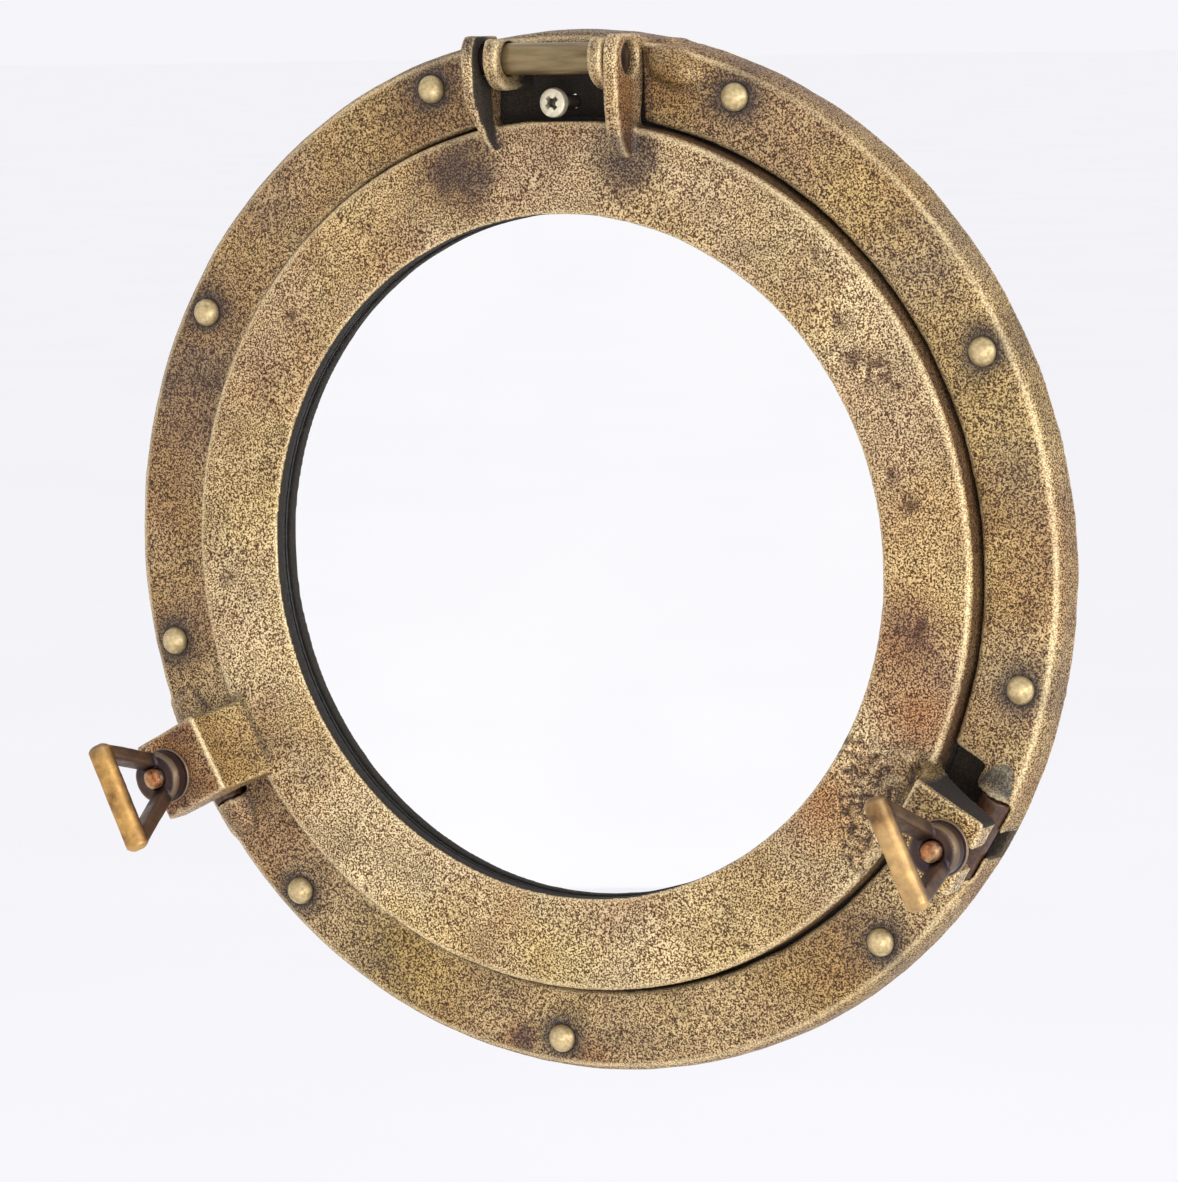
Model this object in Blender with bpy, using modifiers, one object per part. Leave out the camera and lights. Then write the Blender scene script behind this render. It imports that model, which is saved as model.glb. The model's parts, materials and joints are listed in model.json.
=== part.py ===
"""Opening porthole: a round brass casting with a top-hinged mirror door and two swing-bolt dogs.

World frame: the origin is the centre of the flange's back face, +X is to the right, +Y runs into
the wall and +Z is up.  Everything is laid out in the wall frame of one empty: x to the right, y up
and z the height out of the wall.  The empty turns that frame upright.
"""

import math

import bmesh
import bpy
from mathutils import Matrix, Vector

MM = 0.001
GAP = 0.3 * MM                     # air between pieces that touch

# Driving dimensions of the castings
FLANGE_RADIUS = 152.4 * MM         # a 12 inch flange, measured at its back
FLANGE_HEIGHT = 12 * MM
FLANGE_BORE = 108 * MM
LEDGE_HEIGHT = 4 * MM              # ledge that the door closes onto
WEB = 3.5 * MM                     # wall thickness of the hollow castings
DOOR_RADIUS = 126.8 * MM
DOOR_FACE = 17.5 * MM
DOOR_BACK = 6.2 * MM
OPENING_RADIUS = 99.6 * MM
DOOR_CLEARANCE = 1 * MM
GLASS_RADIUS = 104.2 * MM
GLASS_FRONT = 11.7 * MM
GLASS_THICKNESS = 3 * MM
GASKET_SPACE = 1.5 * MM            # from the glass's front to the back of the door's lip
BOARD_THICKNESS = 1.4 * MM
CLIP_THICKNESS = 0.8 * MM
RING_STEPS = 96

# Hinge at the top of the flange
HINGE_X = -0.8 * MM                # the hinge was cast a little off centre
PIN_RADIUS = 4.6 * MM
PIN_Y = 144.2 * MM
PIN_HEIGHT = 18 * MM
BORE_RADIUS = PIN_RADIUS + 0.4 * MM
EYE_RADIUS = 9 * MM
EAR_LIMIT = 150.4 * MM             # the ears' and the lugs' eyes are flat towards the flange's rim
LUG_LIMIT = 151.2 * MM
EAR_INNER = 14.6 * MM              # half the gap between the flange's ears
EAR_OUTER = 19.2 * MM
LUG_SPANS = {"left": (-26.8 * MM, -22.4 * MM), "right": (19.7 * MM, 24.4 * MM)}
LUG_TIP_LEANS = {"left": 3.9 * MM, "right": 0.0}   # how far each lug bends along the pin by its tip
LUG_BEND_START = 136 * MM          # the y where a lug starts to bend and thin
LUG_BEND_LENGTH = 20 * MM
LUG_TIP_THINNING = {"left": 0.65, "right": 0.15}
LUG_NOSES = {                      # each lug's upper edge (y, height) from its tip: a point, and a blunt end
    "left": [(115.5, 16.5), (117.5, 18.6), (121.5, 21.4), (126.5, 24), (132.5, 26), (138, 26.9)],
    "right": [(115.5, 16.5), (116.3, 19.8), (117.5, 21.2), (121.5, 23.8), (126.5, 25.5),
              (132.5, 26.6), (138, 26.9)]}
POCKET_SPAN = (-28 * MM, 25.2 * MM)
HINGE_PLACE = Matrix.Translation((HINGE_X, 0, 0))
PIN_LINE = Matrix.Translation((HINGE_X, PIN_Y, PIN_HEIGHT))

# Swing-bolt dogs
DOG_ANGLES = {"left": -152.5, "right": -30.9}
DOG_TILTS = {"left": 2.0, "right": 0.0}
NUT_TURNS = {"left": -3.7, "right": 55.0}       # how far each loop is turned from tangential
NUT_LEANS = {"left": -2.5 * MM, "right": -2.7 * MM}  # how far each cast loop leans along its bar
DOG_RADIUS = 145.3 * MM
PIVOT_HEIGHT = 10.5 * MM
SEAT = 24 * MM                     # top of the fork, above the pivot
STUD_RADIUS = 3 * MM
STUD_TOP = 33.5 * MM
BARREL_RADIUS = 4.6 * MM
BARREL_HALF = 12.5 * MM
KNUCKLE_RADIUS = 6 * MM
KNUCKLE_END = 22.5 * MM            # the outer end of each knuckle's sloping back
DOG_PIN_RADIUS = 2.2 * MM
FORK_HALF = 12 * MM
FORK_END = 7.5 * MM
SLOT_HALF = 3.75 * MM
WASHER_RADIUS = 8.2 * MM
WASHER_THICKNESS = 1.1 * MM
HUB_RADIUS = 7.6 * MM
HUB_HEIGHT = 5.5 * MM
LOOP_BAR_HEIGHT = 51.5 * MM          # middle of the bar, above the pivot
LOOP_BAR_HALF = 16.8 * MM
LOOP_BAR_THICKNESS = 5 * MM
LOOP_DEPTH = 6.6 * MM

# Rivets, drilled by hand at uneven angles, and the wall screw
RIVET_ANGLES = (108.4, 68, 25.5, -13.3, -48.5, -93.7, -133.2, -167.9, 150.8)
RIVET_CIRCLE = 143 * MM
RIVET_RADIUS = 4.15 * MM
RIVET_SHANK = 1.7 * MM
SCREW_PLACE = Vector((-3 * MM, 131.5 * MM))
SCREW_HEAD_TOP = 17 * MM
SCREW_HEAD_RADIUS = 4.3 * MM
SCREW_SHANK = 1.9 * MM
CLIP_ANGLES = (45, 135, 225, 315)
CLIP_SCREW_CIRCLE = 108.5 * MM

COLOURS = {
    "cast_brass": ((0.42, 0.29, 0.13), 0.5, 1.0),
    "worn_brass": ((0.55, 0.42, 0.20), 0.35, 1.0),
    "dark_bronze": ((0.16, 0.11, 0.08), 0.5, 1.0),
    "zinc": ((0.75, 0.75, 0.73), 0.3, 1.0),
    "rubber": ((0.02, 0.02, 0.02), 0.8, 0.0),
    "mirror": ((0.93, 0.94, 0.94), 0.02, 1.0),
    "board": ((0.30, 0.20, 0.12), 0.9, 0.0),
}


def start_scene():
    """Empty the scene and make the two collections and the wall frame."""
    for obj in list(bpy.data.objects):
        bpy.data.objects.remove(obj, do_unlink=True)
    parts = bpy.data.collections.new("opening_porthole")
    cutters = bpy.data.collections.new("cutters")
    bpy.context.scene.collection.children.link(parts)
    bpy.context.scene.collection.children.link(cutters)
    frame = bpy.data.objects.new("wall_frame", None)
    frame.rotation_euler = (math.radians(90), 0, 0)
    parts.objects.link(frame)
    return parts, cutters, frame


PARTS, CUTTERS, WALL_FRAME = start_scene()
MATERIALS = {}


def material(name):
    """Return the named Principled material, making it the first time."""
    if name not in MATERIALS:
        colour, roughness, metallic = COLOURS[name]
        made = bpy.data.materials.new(name)
        made.use_nodes = True
        shader = made.node_tree.nodes["Principled BSDF"]
        shader.inputs["Base Color"].default_value = (*colour, 1)
        shader.inputs["Roughness"].default_value = roughness
        shader.inputs["Metallic"].default_value = metallic
        MATERIALS[name] = made
    return MATERIALS[name]


def add_object(name, mesh, finish=None, place=None, parent=WALL_FRAME):
    """Put a mesh in the scene: a part when it has a finish, otherwise a cutter."""
    obj = bpy.data.objects.new(name, mesh)
    obj.parent = parent
    obj.matrix_basis = place or Matrix()
    if finish:
        mesh.materials.append(material(finish))
        PARTS.objects.link(obj)
    else:
        CUTTERS.objects.link(obj)
        obj.display_type = "WIRE"
        obj.hide_render = True
    return obj


def box(name, low, high, finish=None, place=None):
    """A box between two corners."""
    low, high = Vector(low), Vector(high)
    shape = bmesh.new()
    size = Matrix.Diagonal((*(high - low), 1))
    bmesh.ops.create_cube(shape, size=1, matrix=Matrix.Translation((low + high) / 2) @ size)
    mesh = bpy.data.meshes.new(name)
    shape.to_mesh(mesh)
    shape.free()
    return add_object(name, mesh, finish, place)


def cylinder(name, radius, low, high, finish=None, place=None, along_x=False, segments=24):
    """A cylinder about the frame's z axis, or about its x axis, from low to high."""
    shape = bmesh.new()
    move = Matrix.Translation((0, 0, (low + high) / 2))
    if along_x:
        move = Matrix.Rotation(math.radians(90), 4, "Y") @ move
    bmesh.ops.create_cone(shape, cap_ends=True, segments=segments, radius1=radius,
                          radius2=radius, depth=high - low, matrix=move)
    mesh = bpy.data.meshes.new(name)
    shape.to_mesh(mesh)
    shape.free()
    return add_object(name, mesh, finish, place)


def turned(name, profile, finish=None, place=None, steps=RING_STEPS):
    """A turned shape.  Its profile starts at the outer top and runs down the outer side; it is a
    closed loop, unless both its ends lie on the axis."""
    mesh = bpy.data.meshes.new(name)
    count = len(profile)
    solid = profile[0][0] == 0 and profile[-1][0] == 0
    edges = [(i, i + 1) for i in range(count - 1)]
    if not solid:
        edges.append((count - 1, 0))
    mesh.from_pydata([(radius, 0, height) for radius, height in profile], edges, [])
    obj = add_object(name, mesh, finish, place)
    screw = obj.modifiers.new("turn", "SCREW")
    screw.axis = "Z"
    screw.steps = screw.render_steps = steps
    screw.use_merge_vertices = True
    screw.merge_threshold = 0.01 * MM
    screw.use_smooth_shade = False
    return obj


def slab(name, outlines, thickness, finish=None, place=None):
    """A flat plate from closed outlines in its own xy plane, the second one being a hole."""
    curve = bpy.data.curves.new(name, "CURVE")
    curve.dimensions = "2D"
    curve.fill_mode = "BOTH"
    curve.extrude = thickness / 2
    for outline in outlines:
        spline = curve.splines.new("POLY")
        spline.points.add(len(outline) - 1)
        spline.use_cyclic_u = True
        for point, (x, y) in zip(spline.points, outline):
            point.co = (x, y, 0, 1)
    guide = bpy.data.objects.new(name + "_outline", curve)
    bpy.context.scene.collection.objects.link(guide)
    depsgraph = bpy.context.evaluated_depsgraph_get()
    mesh = bpy.data.meshes.new_from_object(guide.evaluated_get(depsgraph))
    bpy.data.objects.remove(guide)
    shape = bmesh.new()
    shape.from_mesh(mesh)
    bmesh.ops.remove_doubles(shape, verts=shape.verts, dist=0.001 * MM)
    bmesh.ops.recalc_face_normals(shape, faces=shape.faces)
    shape.to_mesh(mesh)
    shape.free()
    mesh.materials.clear()
    return add_object(name, mesh, finish, place)


def combine(obj, others, operation):
    """Cut the others out of an object, or join them to it."""
    for other in others:
        modifier = obj.modifiers.new(other.name, "BOOLEAN")
        modifier.operation = operation
        modifier.solver = "EXACT"
        modifier.object = other


def cut(obj, *others):
    combine(obj, others, "DIFFERENCE")


def join(obj, *others):
    combine(obj, others, "UNION")


def arc(centre, radius, start, end, count):
    """Points along an arc, with both ends; the angles are in degrees."""
    angles = [math.radians(start + (end - start) * i / count) for i in range(count + 1)]
    return [(centre[0] + radius * math.cos(a), centre[1] + radius * math.sin(a)) for a in angles]


def polar(angle, radius=0.0, height=0.0):
    """A frame on the ring: x runs clockwise along the ring, y outward and z out of the wall."""
    turn = Matrix.Rotation(math.radians(angle - 90), 4, "Z")
    return turn @ Matrix.Translation((0, radius, height))


def dog_place(side):
    """The frame of one dog, at its pivot, leaning outward by the dog's tilt."""
    lean = Matrix.Rotation(math.radians(-DOG_TILTS[side]), 4, "X")
    return polar(DOG_ANGLES[side], DOG_RADIUS, PIVOT_HEIGHT) @ lean


# Side plates stand in planes of constant x: their outline's x is the frame's y, and its y the z.
STANDING = Matrix(((0, 0, 1, 0), (1, 0, 0, 0), (0, 1, 0, 0), (0, 0, 0, 1)))


def side_plate(name, outline, low_x, high_x, finish=None, place=None):
    """A plate between two values of x, drawn in the frame's yz plane."""
    offset = Matrix.Translation(((low_x + high_x) / 2, 0, 0))
    return slab(name, [outline], high_x - low_x, finish, (place or Matrix()) @ offset @ STANDING)


def flange_hollow():
    """The hollow behind the flange's face, left solid under the hinge and the dogs."""
    outer = FLANGE_RADIUS - 4.2 * MM
    inner = DOOR_RADIUS + DOOR_CLEARANCE + WEB
    top = FLANGE_HEIGHT - WEB
    hollow = turned("flange_hollow", [(outer - 0.8 * MM, top), (outer, -1 * MM),
                                      (inner, -1 * MM), (inner + 0.8 * MM, top)])
    hinge_block = box("hinge_block", (-33 * MM, 120 * MM, -5 * MM), (33 * MM, 160 * MM, 20 * MM))
    cut(hollow, hinge_block)
    for side, angle in DOG_ANGLES.items():
        block = box(f"dog_block_{side}", (-24 * MM, 120 * MM, -5 * MM),
                    (24 * MM, 160 * MM, 20 * MM), place=polar(angle))
        cut(hollow, block)
    return hollow


def eye(start, end, limit):
    """The outline of an eye round the hinge pin, from one angle to another, flattened at a limit."""
    points = arc((PIN_Y, PIN_HEIGHT), EYE_RADIUS, start, end, 18)
    return [point for point in points if point[0] < limit]


def hinge_ear(sign):
    """One ear of the flange's hinge: a round eye on a stem that stands in the pocket."""
    low, high = sorted((sign * EAR_INNER, sign * EAR_OUTER))
    outline = eye(180, 0, EAR_LIMIT)
    outline += [(PIN_Y + 5.5 * MM, 8 * MM), (PIN_Y + 5 * MM, 2 * MM), (PIN_Y - EYE_RADIUS, 2 * MM)]
    name = f"hinge_ear_{'right' if sign > 0 else 'left'}"
    return side_plate(name, outline, low, high, place=HINGE_PLACE)


def dog_ear(side, sign):
    """One knuckle that holds a dog's pivot pin, with a back that slopes down along the flange."""
    low, high = sorted((sign * (BARREL_HALF + 0.7 * MM), sign * KNUCKLE_END))
    middle = -1.4 * MM
    outline = arc((middle, 0), KNUCKLE_RADIUS, 180, 0, 12)
    outline += [(KNUCKLE_RADIUS - 2 * MM, -8.5 * MM), (-KNUCKLE_RADIUS - 3 * MM, -8.5 * MM)]
    place = polar(DOG_ANGLES[side], DOG_RADIUS, PIVOT_HEIGHT)
    name = f"dog_ear_{side}_{'a' if sign > 0 else 'b'}"
    ear = side_plate(name, outline, low, high, place=place)
    for vertex in ear.data.vertices:
        if vertex.co.z * sign > 0:
            vertex.co.x = middle + 0.7 * (vertex.co.x - middle)
            vertex.co.y = min(vertex.co.y, 0) + 0.45 * max(vertex.co.y, 0)
    return ear


def make_flange():
    """The wall flange: a hollow ring with the hinge ears, the dog ears and their pockets."""
    inner = DOOR_RADIUS + DOOR_CLEARANCE
    flange = turned("mounting_flange", [
        (FLANGE_RADIUS - 3.6 * MM, FLANGE_HEIGHT), (FLANGE_RADIUS - 1.8 * MM, FLANGE_HEIGHT - 0.6 * MM),
        (FLANGE_RADIUS - 0.7 * MM, FLANGE_HEIGHT - 2 * MM),
        (FLANGE_RADIUS, 0), (FLANGE_BORE, 0), (FLANGE_BORE, LEDGE_HEIGHT),
        (inner, LEDGE_HEIGHT), (inner, FLANGE_HEIGHT - 0.5 * MM),
        (inner + 0.5 * MM, FLANGE_HEIGHT)], "cast_brass")
    cut(flange, flange_hollow())
    cut(flange, box("hinge_pocket", (HINGE_X + POCKET_SPAN[0], 120 * MM, LEDGE_HEIGHT),
                    (HINGE_X + POCKET_SPAN[1], 146.4 * MM, 20 * MM)))
    for side, (low, high) in LUG_SPANS.items():
        cut(flange, cylinder(f"lug_relief_{side}", EYE_RADIUS + 0.7 * MM, low - GAP, high + GAP,
                             place=PIN_LINE, along_x=True))
    for side, angle in DOG_ANGLES.items():
        half = BARREL_HALF + GAP
        cut(flange, box(f"dog_pocket_{side}", (-half, 137.5 * MM, WEB),
                        (half, DOG_RADIUS + BARREL_RADIUS + GAP, 20 * MM), place=polar(angle)))
        cut(flange, box(f"stud_notch_{side}", (-STUD_RADIUS - 1.2 * MM, DOG_RADIUS, WEB),
                        (STUD_RADIUS + 1.2 * MM, 160 * MM, 20 * MM), place=polar(angle)))
    join(flange, hinge_ear(-1), hinge_ear(1))
    for side in DOG_ANGLES:
        join(flange, dog_ear(side, -1), dog_ear(side, 1))
    cut(flange, cylinder("hinge_bore", BORE_RADIUS, -40 * MM, 40 * MM, place=PIN_LINE, along_x=True))
    for side, angle in DOG_ANGLES.items():
        place = polar(angle, DOG_RADIUS, PIVOT_HEIGHT)
        reach = BARREL_HALF + 5 * MM
        cut(flange, cylinder(f"dog_bore_{side}", DOG_PIN_RADIUS + 0.35 * MM, -reach, reach,
                             place=place, along_x=True, segments=16))
    hole = Matrix.Translation((*SCREW_PLACE, 0))
    cut(flange, cylinder("screw_hole", SCREW_SHANK + 0.9 * MM, -2 * MM, 8 * MM, place=hole, segments=16))
    for number, angle in enumerate(RIVET_ANGLES, 1):
        cut(flange, cylinder(f"rivet_hole_{number}", RIVET_SHANK + 0.4 * MM, 5 * MM, 14 * MM,
                             place=polar(angle, RIVET_CIRCLE), segments=12))
    return flange


def make_rivets():
    """Nine dome rivets, each with its shank through the flange's face."""
    for number, angle in enumerate(RIVET_ANGLES, 1):
        base = FLANGE_HEIGHT + GAP
        rise = 3.2 * MM
        dome = [(RIVET_RADIUS * math.sin(math.radians(a)), base + rise * math.cos(math.radians(a)))
                for a in (0, 20, 40, 58, 76, 90)]
        dome[0] = (0, base + rise)
        profile = dome + [(RIVET_SHANK, base), (RIVET_SHANK, 5.2 * MM), (0, 5.2 * MM)]
        turned(f"rivet_{number}", profile, "worn_brass", polar(angle, RIVET_CIRCLE), steps=16)


def make_wall_screw():
    """The pan-head screw in the hinge pocket, cut off flush with the flange's back."""
    top = SCREW_HEAD_TOP
    head = [(0, top), (2.6 * MM, top - 0.15 * MM), (3.8 * MM, top - 0.8 * MM),
            (SCREW_HEAD_RADIUS, top - 1.7 * MM), (SCREW_HEAD_RADIUS, top - 2.6 * MM),
            (SCREW_SHANK, top - 2.6 * MM), (SCREW_SHANK, GAP), (0, GAP)]
    place = Matrix.Translation((*SCREW_PLACE, 0))
    screw = turned("wall_screw", head, "zinc", place, steps=24)
    for number, turn in enumerate((38, 128)):
        recess = place @ Matrix.Rotation(math.radians(turn), 4, "Z")
        cut(screw, box(f"cross_recess_{number}", (-2.2 * MM, -0.45 * MM, top - 1.6 * MM),
                       (2.2 * MM, 0.45 * MM, top + MM), place=recess))


def make_seal():
    """The flat rubber ring between the flange's ledge and the door's rim."""
    outer, inner = DOOR_RADIUS + 0.4 * MM, 118.5 * MM
    top, bottom = DOOR_BACK - GAP, LEDGE_HEIGHT + GAP
    turned("door_seal", [(outer, top), (outer, bottom), (inner, bottom), (inner, top)], "rubber")


def make_hinge_pin():
    """The plain pin through the ears and the lugs, its ends recessed in the lugs."""
    low, high = LUG_SPANS["left"][0] + 2 * MM, LUG_SPANS["right"][1] - 2 * MM
    cylinder("hinge_pin", PIN_RADIUS, low, high, "worn_brass", PIN_LINE, along_x=True)


def hinge_lug(side):
    """One horn-shaped lug of the door: an eye on the pin, and an arm that thins towards its tip."""
    low, high = LUG_SPANS[side]
    outline = [(y * MM, height * MM) for y, height in LUG_NOSES[side]]
    outline += eye(92, -100, LUG_LIMIT)
    outline += [(134 * MM, 10.2 * MM), (128 * MM, 12 * MM), (124.3 * MM, 12 * MM),
                (123.8 * MM, 16 * MM)]
    lug = side_plate(f"hinge_lug_{side}", outline, low, high, place=HINGE_PLACE)
    for vertex in lug.data.vertices:
        along = min(max((LUG_BEND_START - vertex.co.x) / LUG_BEND_LENGTH, 0), 1)
        vertex.co.z *= 1 - LUG_TIP_THINNING[side] * along ** 2
        vertex.co.z += LUG_TIP_LEANS[side] * along ** 1.4
    return lug


def fork(side):
    """One arm of the door that a dog clamps: a hooked block whose flat top is the nut's seat.
    The seat falls away at its outer end, inside the arc that the washer's underside turns on."""
    outline = [(-24 * MM, 4.2 * MM), (-22.6 * MM, 7.4 * MM), (-19.6 * MM, 11.5 * MM),
               (-17.4 * MM, 17 * MM), (-16.2 * MM, SEAT - MM), (-15.4 * MM, SEAT),
               (2.5 * MM, SEAT), (5 * MM, SEAT - 0.35 * MM), (FORK_END, SEAT - 1.1 * MM),
               (FORK_END, 14.5 * MM),
               (-6 * MM, 10.5 * MM), (-14 * MM, 7 * MM), (-19.2 * MM, 2 * MM),
               (-20.4 * MM, -1.5 * MM)]
    return side_plate(f"fork_{side}", outline, -FORK_HALF, FORK_HALF, place=dog_place(side))


def fork_slot(side):
    """The open slot that the stud swings into: a round end and two straight sides."""
    outline = arc((0, 0), SLOT_HALF, 180, 360, 10) + [(SLOT_HALF, 20 * MM), (-SLOT_HALF, 20 * MM)]
    place = dog_place(side) @ Matrix.Translation((0, 0, SEAT / 2 + 4 * MM))
    return slab(f"fork_slot_{side}", [outline], SEAT, place=place)


def make_door():
    """The door ring, hollow behind, with its hinge lugs, forks and the rebate for the mirror."""
    rim_back = GLASS_FRONT - GLASS_THICKNESS - GAP - BOARD_THICKNESS
    lip_back = GLASS_FRONT + GASKET_SPACE
    rebate = GLASS_RADIUS + 0.6 * MM
    hollow_top = DOOR_FACE - WEB
    door = turned("door_ring", [
        (DOOR_RADIUS - 0.9 * MM, DOOR_FACE), (DOOR_RADIUS, DOOR_FACE - 0.9 * MM),
        (DOOR_RADIUS, DOOR_BACK), (DOOR_RADIUS - WEB, DOOR_BACK),
        (DOOR_RADIUS - WEB - 0.4 * MM, hollow_top), (112.6 * MM, hollow_top),
        (112.2 * MM, rim_back), (rebate, rim_back), (rebate, lip_back),
        (OPENING_RADIUS, lip_back), (OPENING_RADIUS, DOOR_FACE - 0.5 * MM),
        (OPENING_RADIUS + 0.5 * MM, DOOR_FACE)], "cast_brass")
    cut(door, box("door_top_flat", (-16 * MM, 126.2 * MM, 0), (16 * MM, 130 * MM, 30 * MM)))
    join(door, hinge_lug("left"), hinge_lug("right"))
    for side in DOG_ANGLES:
        join(door, fork(side))
        cut(door, fork_slot(side))
    cut(door, cylinder("lug_bore", BORE_RADIUS, -40 * MM, 40 * MM, place=PIN_LINE, along_x=True))
    for number, angle in enumerate(CLIP_ANGLES, 1):
        cut(door, cylinder(f"clip_screw_hole_{number}", 1.8 * MM, 0, 14.2 * MM,
                           place=polar(angle, CLIP_SCREW_CIRCLE), segments=12))
    return door


def make_glazing():
    """The mirror, its gasket, its backing board and the four clips that hold them."""
    glass_back = GLASS_FRONT - GLASS_THICKNESS
    cylinder("mirror_glass", GLASS_RADIUS, glass_back, GLASS_FRONT, "mirror", segments=RING_STEPS)
    top, bottom = GLASS_FRONT + GASKET_SPACE - GAP, GLASS_FRONT + GAP
    outer, inner = GLASS_RADIUS + 0.2 * MM, OPENING_RADIUS + 0.6 * MM
    turned("glass_gasket", [(outer, top), (outer, bottom), (inner, bottom), (inner, top)], "rubber")
    board_top = glass_back - GAP
    board_bottom = board_top - BOARD_THICKNESS
    cylinder("backing_plate", GLASS_RADIUS, board_bottom, board_top, "board", segments=RING_STEPS)
    clip_top = board_bottom - GAP
    clip_bottom = clip_top - CLIP_THICKNESS
    for number, angle in enumerate(CLIP_ANGLES, 1):
        place = polar(angle)
        clip = box(f"retaining_clip_{number}", (-5 * MM, 96 * MM, clip_bottom),
                   (5 * MM, 112 * MM, clip_top), "dark_bronze", place)
        cut(clip, cylinder(f"clip_hole_{number}", 1.8 * MM, 0, 12 * MM,
                           place=polar(angle, CLIP_SCREW_CIRCLE), segments=12))
        head_top = clip_bottom - GAP
        profile = [(0, 13.4 * MM), (1.4 * MM, 13.4 * MM), (1.4 * MM, head_top),
                   (2.7 * MM, head_top), (2.7 * MM, head_top - 0.6 * MM),
                   (1.8 * MM, head_top - 1.2 * MM), (0, head_top - 1.2 * MM)]
        turned(f"clip_screw_{number}", profile, "zinc", polar(angle, CLIP_SCREW_CIRCLE), steps=12)


def wing_nut(side):
    """A cast wing nut: a round hub and a triangular finger loop that stands out from it."""
    base = SEAT + WASHER_THICKNESS + 2 * GAP
    hub_top = base + HUB_HEIGHT
    bar_low = LOOP_BAR_HEIGHT - LOOP_BAR_THICKNESS / 2
    bar_high = LOOP_BAR_HEIGHT + LOOP_BAR_THICKNESS / 2
    lean = NUT_LEANS[side]
    half = LOOP_BAR_HALF
    foot = HUB_RADIUS - 0.6 * MM
    corner = 2.4 * MM
    outer = [(-foot, base + 0.4 * MM), (foot, base + 0.4 * MM), (foot + MM, hub_top)]
    outer += arc((lean + half - corner, bar_high - corner), corner, -20, 90, 5)
    outer += arc((lean - half + corner, bar_high - corner), corner, 90, 200, 5)
    outer += [(-foot - MM, hub_top)]
    web = 4.2 * MM
    hole = [(-foot + 2.2 * MM, hub_top), (foot - 2.2 * MM, hub_top),
            (lean + half - web - MM, bar_low - 1.6 * MM), (lean + half - web - 2.6 * MM, bar_low),
            (lean - half + web + 2.6 * MM, bar_low), (lean - half + web + MM, bar_low - 1.6 * MM)]
    turn = Matrix.Rotation(math.radians(NUT_TURNS[side]), 4, "Z")
    upright = Matrix.Rotation(math.radians(90), 4, "X")
    place = dog_place(side) @ turn
    nut = slab(f"wing_nut_{side}", [outer, hole], LOOP_DEPTH, "worn_brass", place @ upright)
    join(nut, cylinder(f"nut_hub_{side}", HUB_RADIUS, base, hub_top, place=place))
    cut(nut, cylinder(f"nut_bore_{side}", STUD_RADIUS + 0.35 * MM, 0, hub_top + 6 * MM,
                      place=place, segments=16))


def make_dog(side):
    """One dog: its pivot pin, the swing bolt, the washer and the wing nut."""
    place = dog_place(side)
    cylinder(f"dog_pin_{side}", DOG_PIN_RADIUS, -BARREL_HALF - 4.7 * MM, BARREL_HALF + 4.7 * MM,
             "worn_brass", place, along_x=True, segments=16)
    bolt = cylinder(f"dog_bolt_{side}", BARREL_RADIUS, -BARREL_HALF, BARREL_HALF,
                    "dark_bronze", place, along_x=True)
    join(bolt, cylinder(f"stud_{side}", STUD_RADIUS, 2 * MM, STUD_TOP, place=place, segments=16))
    cut(bolt, cylinder(f"barrel_bore_{side}", DOG_PIN_RADIUS + 0.35 * MM, -20 * MM, 20 * MM,
                       place=place, along_x=True, segments=16))
    low = SEAT + GAP
    washer = [(WASHER_RADIUS, low + WASHER_THICKNESS), (WASHER_RADIUS, low),
              (STUD_RADIUS + 0.35 * MM, low), (STUD_RADIUS + 0.35 * MM, low + WASHER_THICKNESS)]
    turned(f"dog_washer_{side}", washer, "dark_bronze", place, steps=24)
    wing_nut(side)


def shade_round_pieces():
    """Shade every part smooth, with its real edges kept sharp."""
    for obj in PARTS.objects:
        if obj.type == "MESH":
            obj.data.shade_smooth()
            obj.data.set_sharp_from_angle(angle=math.radians(30))


make_flange()
make_rivets()
make_wall_screw()
make_seal()
make_hinge_pin()
make_door()
make_glazing()
for dog_side in DOG_ANGLES:
    make_dog(dog_side)
shade_round_pieces()
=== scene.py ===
"""The looks of the opening porthole: an antiqued brass casting on a wall, with a mirror door.

World frame, in metres: +X right, +Y into the wall, +Z up.  Shapes are laid out in the wall frame,
which has x right, y up and z the height out of the wall, and WALL turns it upright.
"""

import functools
import json
import math

import bmesh
import bpy
import numpy as np
from mathutils import Matrix, Vector


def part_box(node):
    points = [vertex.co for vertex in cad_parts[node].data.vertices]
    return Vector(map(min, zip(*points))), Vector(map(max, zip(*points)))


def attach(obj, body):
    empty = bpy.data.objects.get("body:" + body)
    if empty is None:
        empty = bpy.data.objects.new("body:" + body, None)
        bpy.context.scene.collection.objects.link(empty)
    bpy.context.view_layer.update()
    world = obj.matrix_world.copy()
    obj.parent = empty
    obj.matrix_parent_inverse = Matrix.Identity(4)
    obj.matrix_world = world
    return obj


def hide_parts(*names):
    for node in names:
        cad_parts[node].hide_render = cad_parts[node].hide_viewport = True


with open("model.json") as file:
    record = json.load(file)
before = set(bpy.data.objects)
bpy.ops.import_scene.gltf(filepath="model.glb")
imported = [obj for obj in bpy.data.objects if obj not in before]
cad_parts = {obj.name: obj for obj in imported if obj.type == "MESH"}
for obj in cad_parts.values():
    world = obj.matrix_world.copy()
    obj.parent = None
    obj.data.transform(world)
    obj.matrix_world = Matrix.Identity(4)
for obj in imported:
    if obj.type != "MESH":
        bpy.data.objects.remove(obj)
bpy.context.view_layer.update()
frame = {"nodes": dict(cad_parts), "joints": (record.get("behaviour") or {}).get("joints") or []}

MM = 0.001
WALL = Matrix.Rotation(math.radians(90), 4, "X")
ALONG_X = Matrix.Rotation(math.radians(90), 4, "Y")
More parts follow.
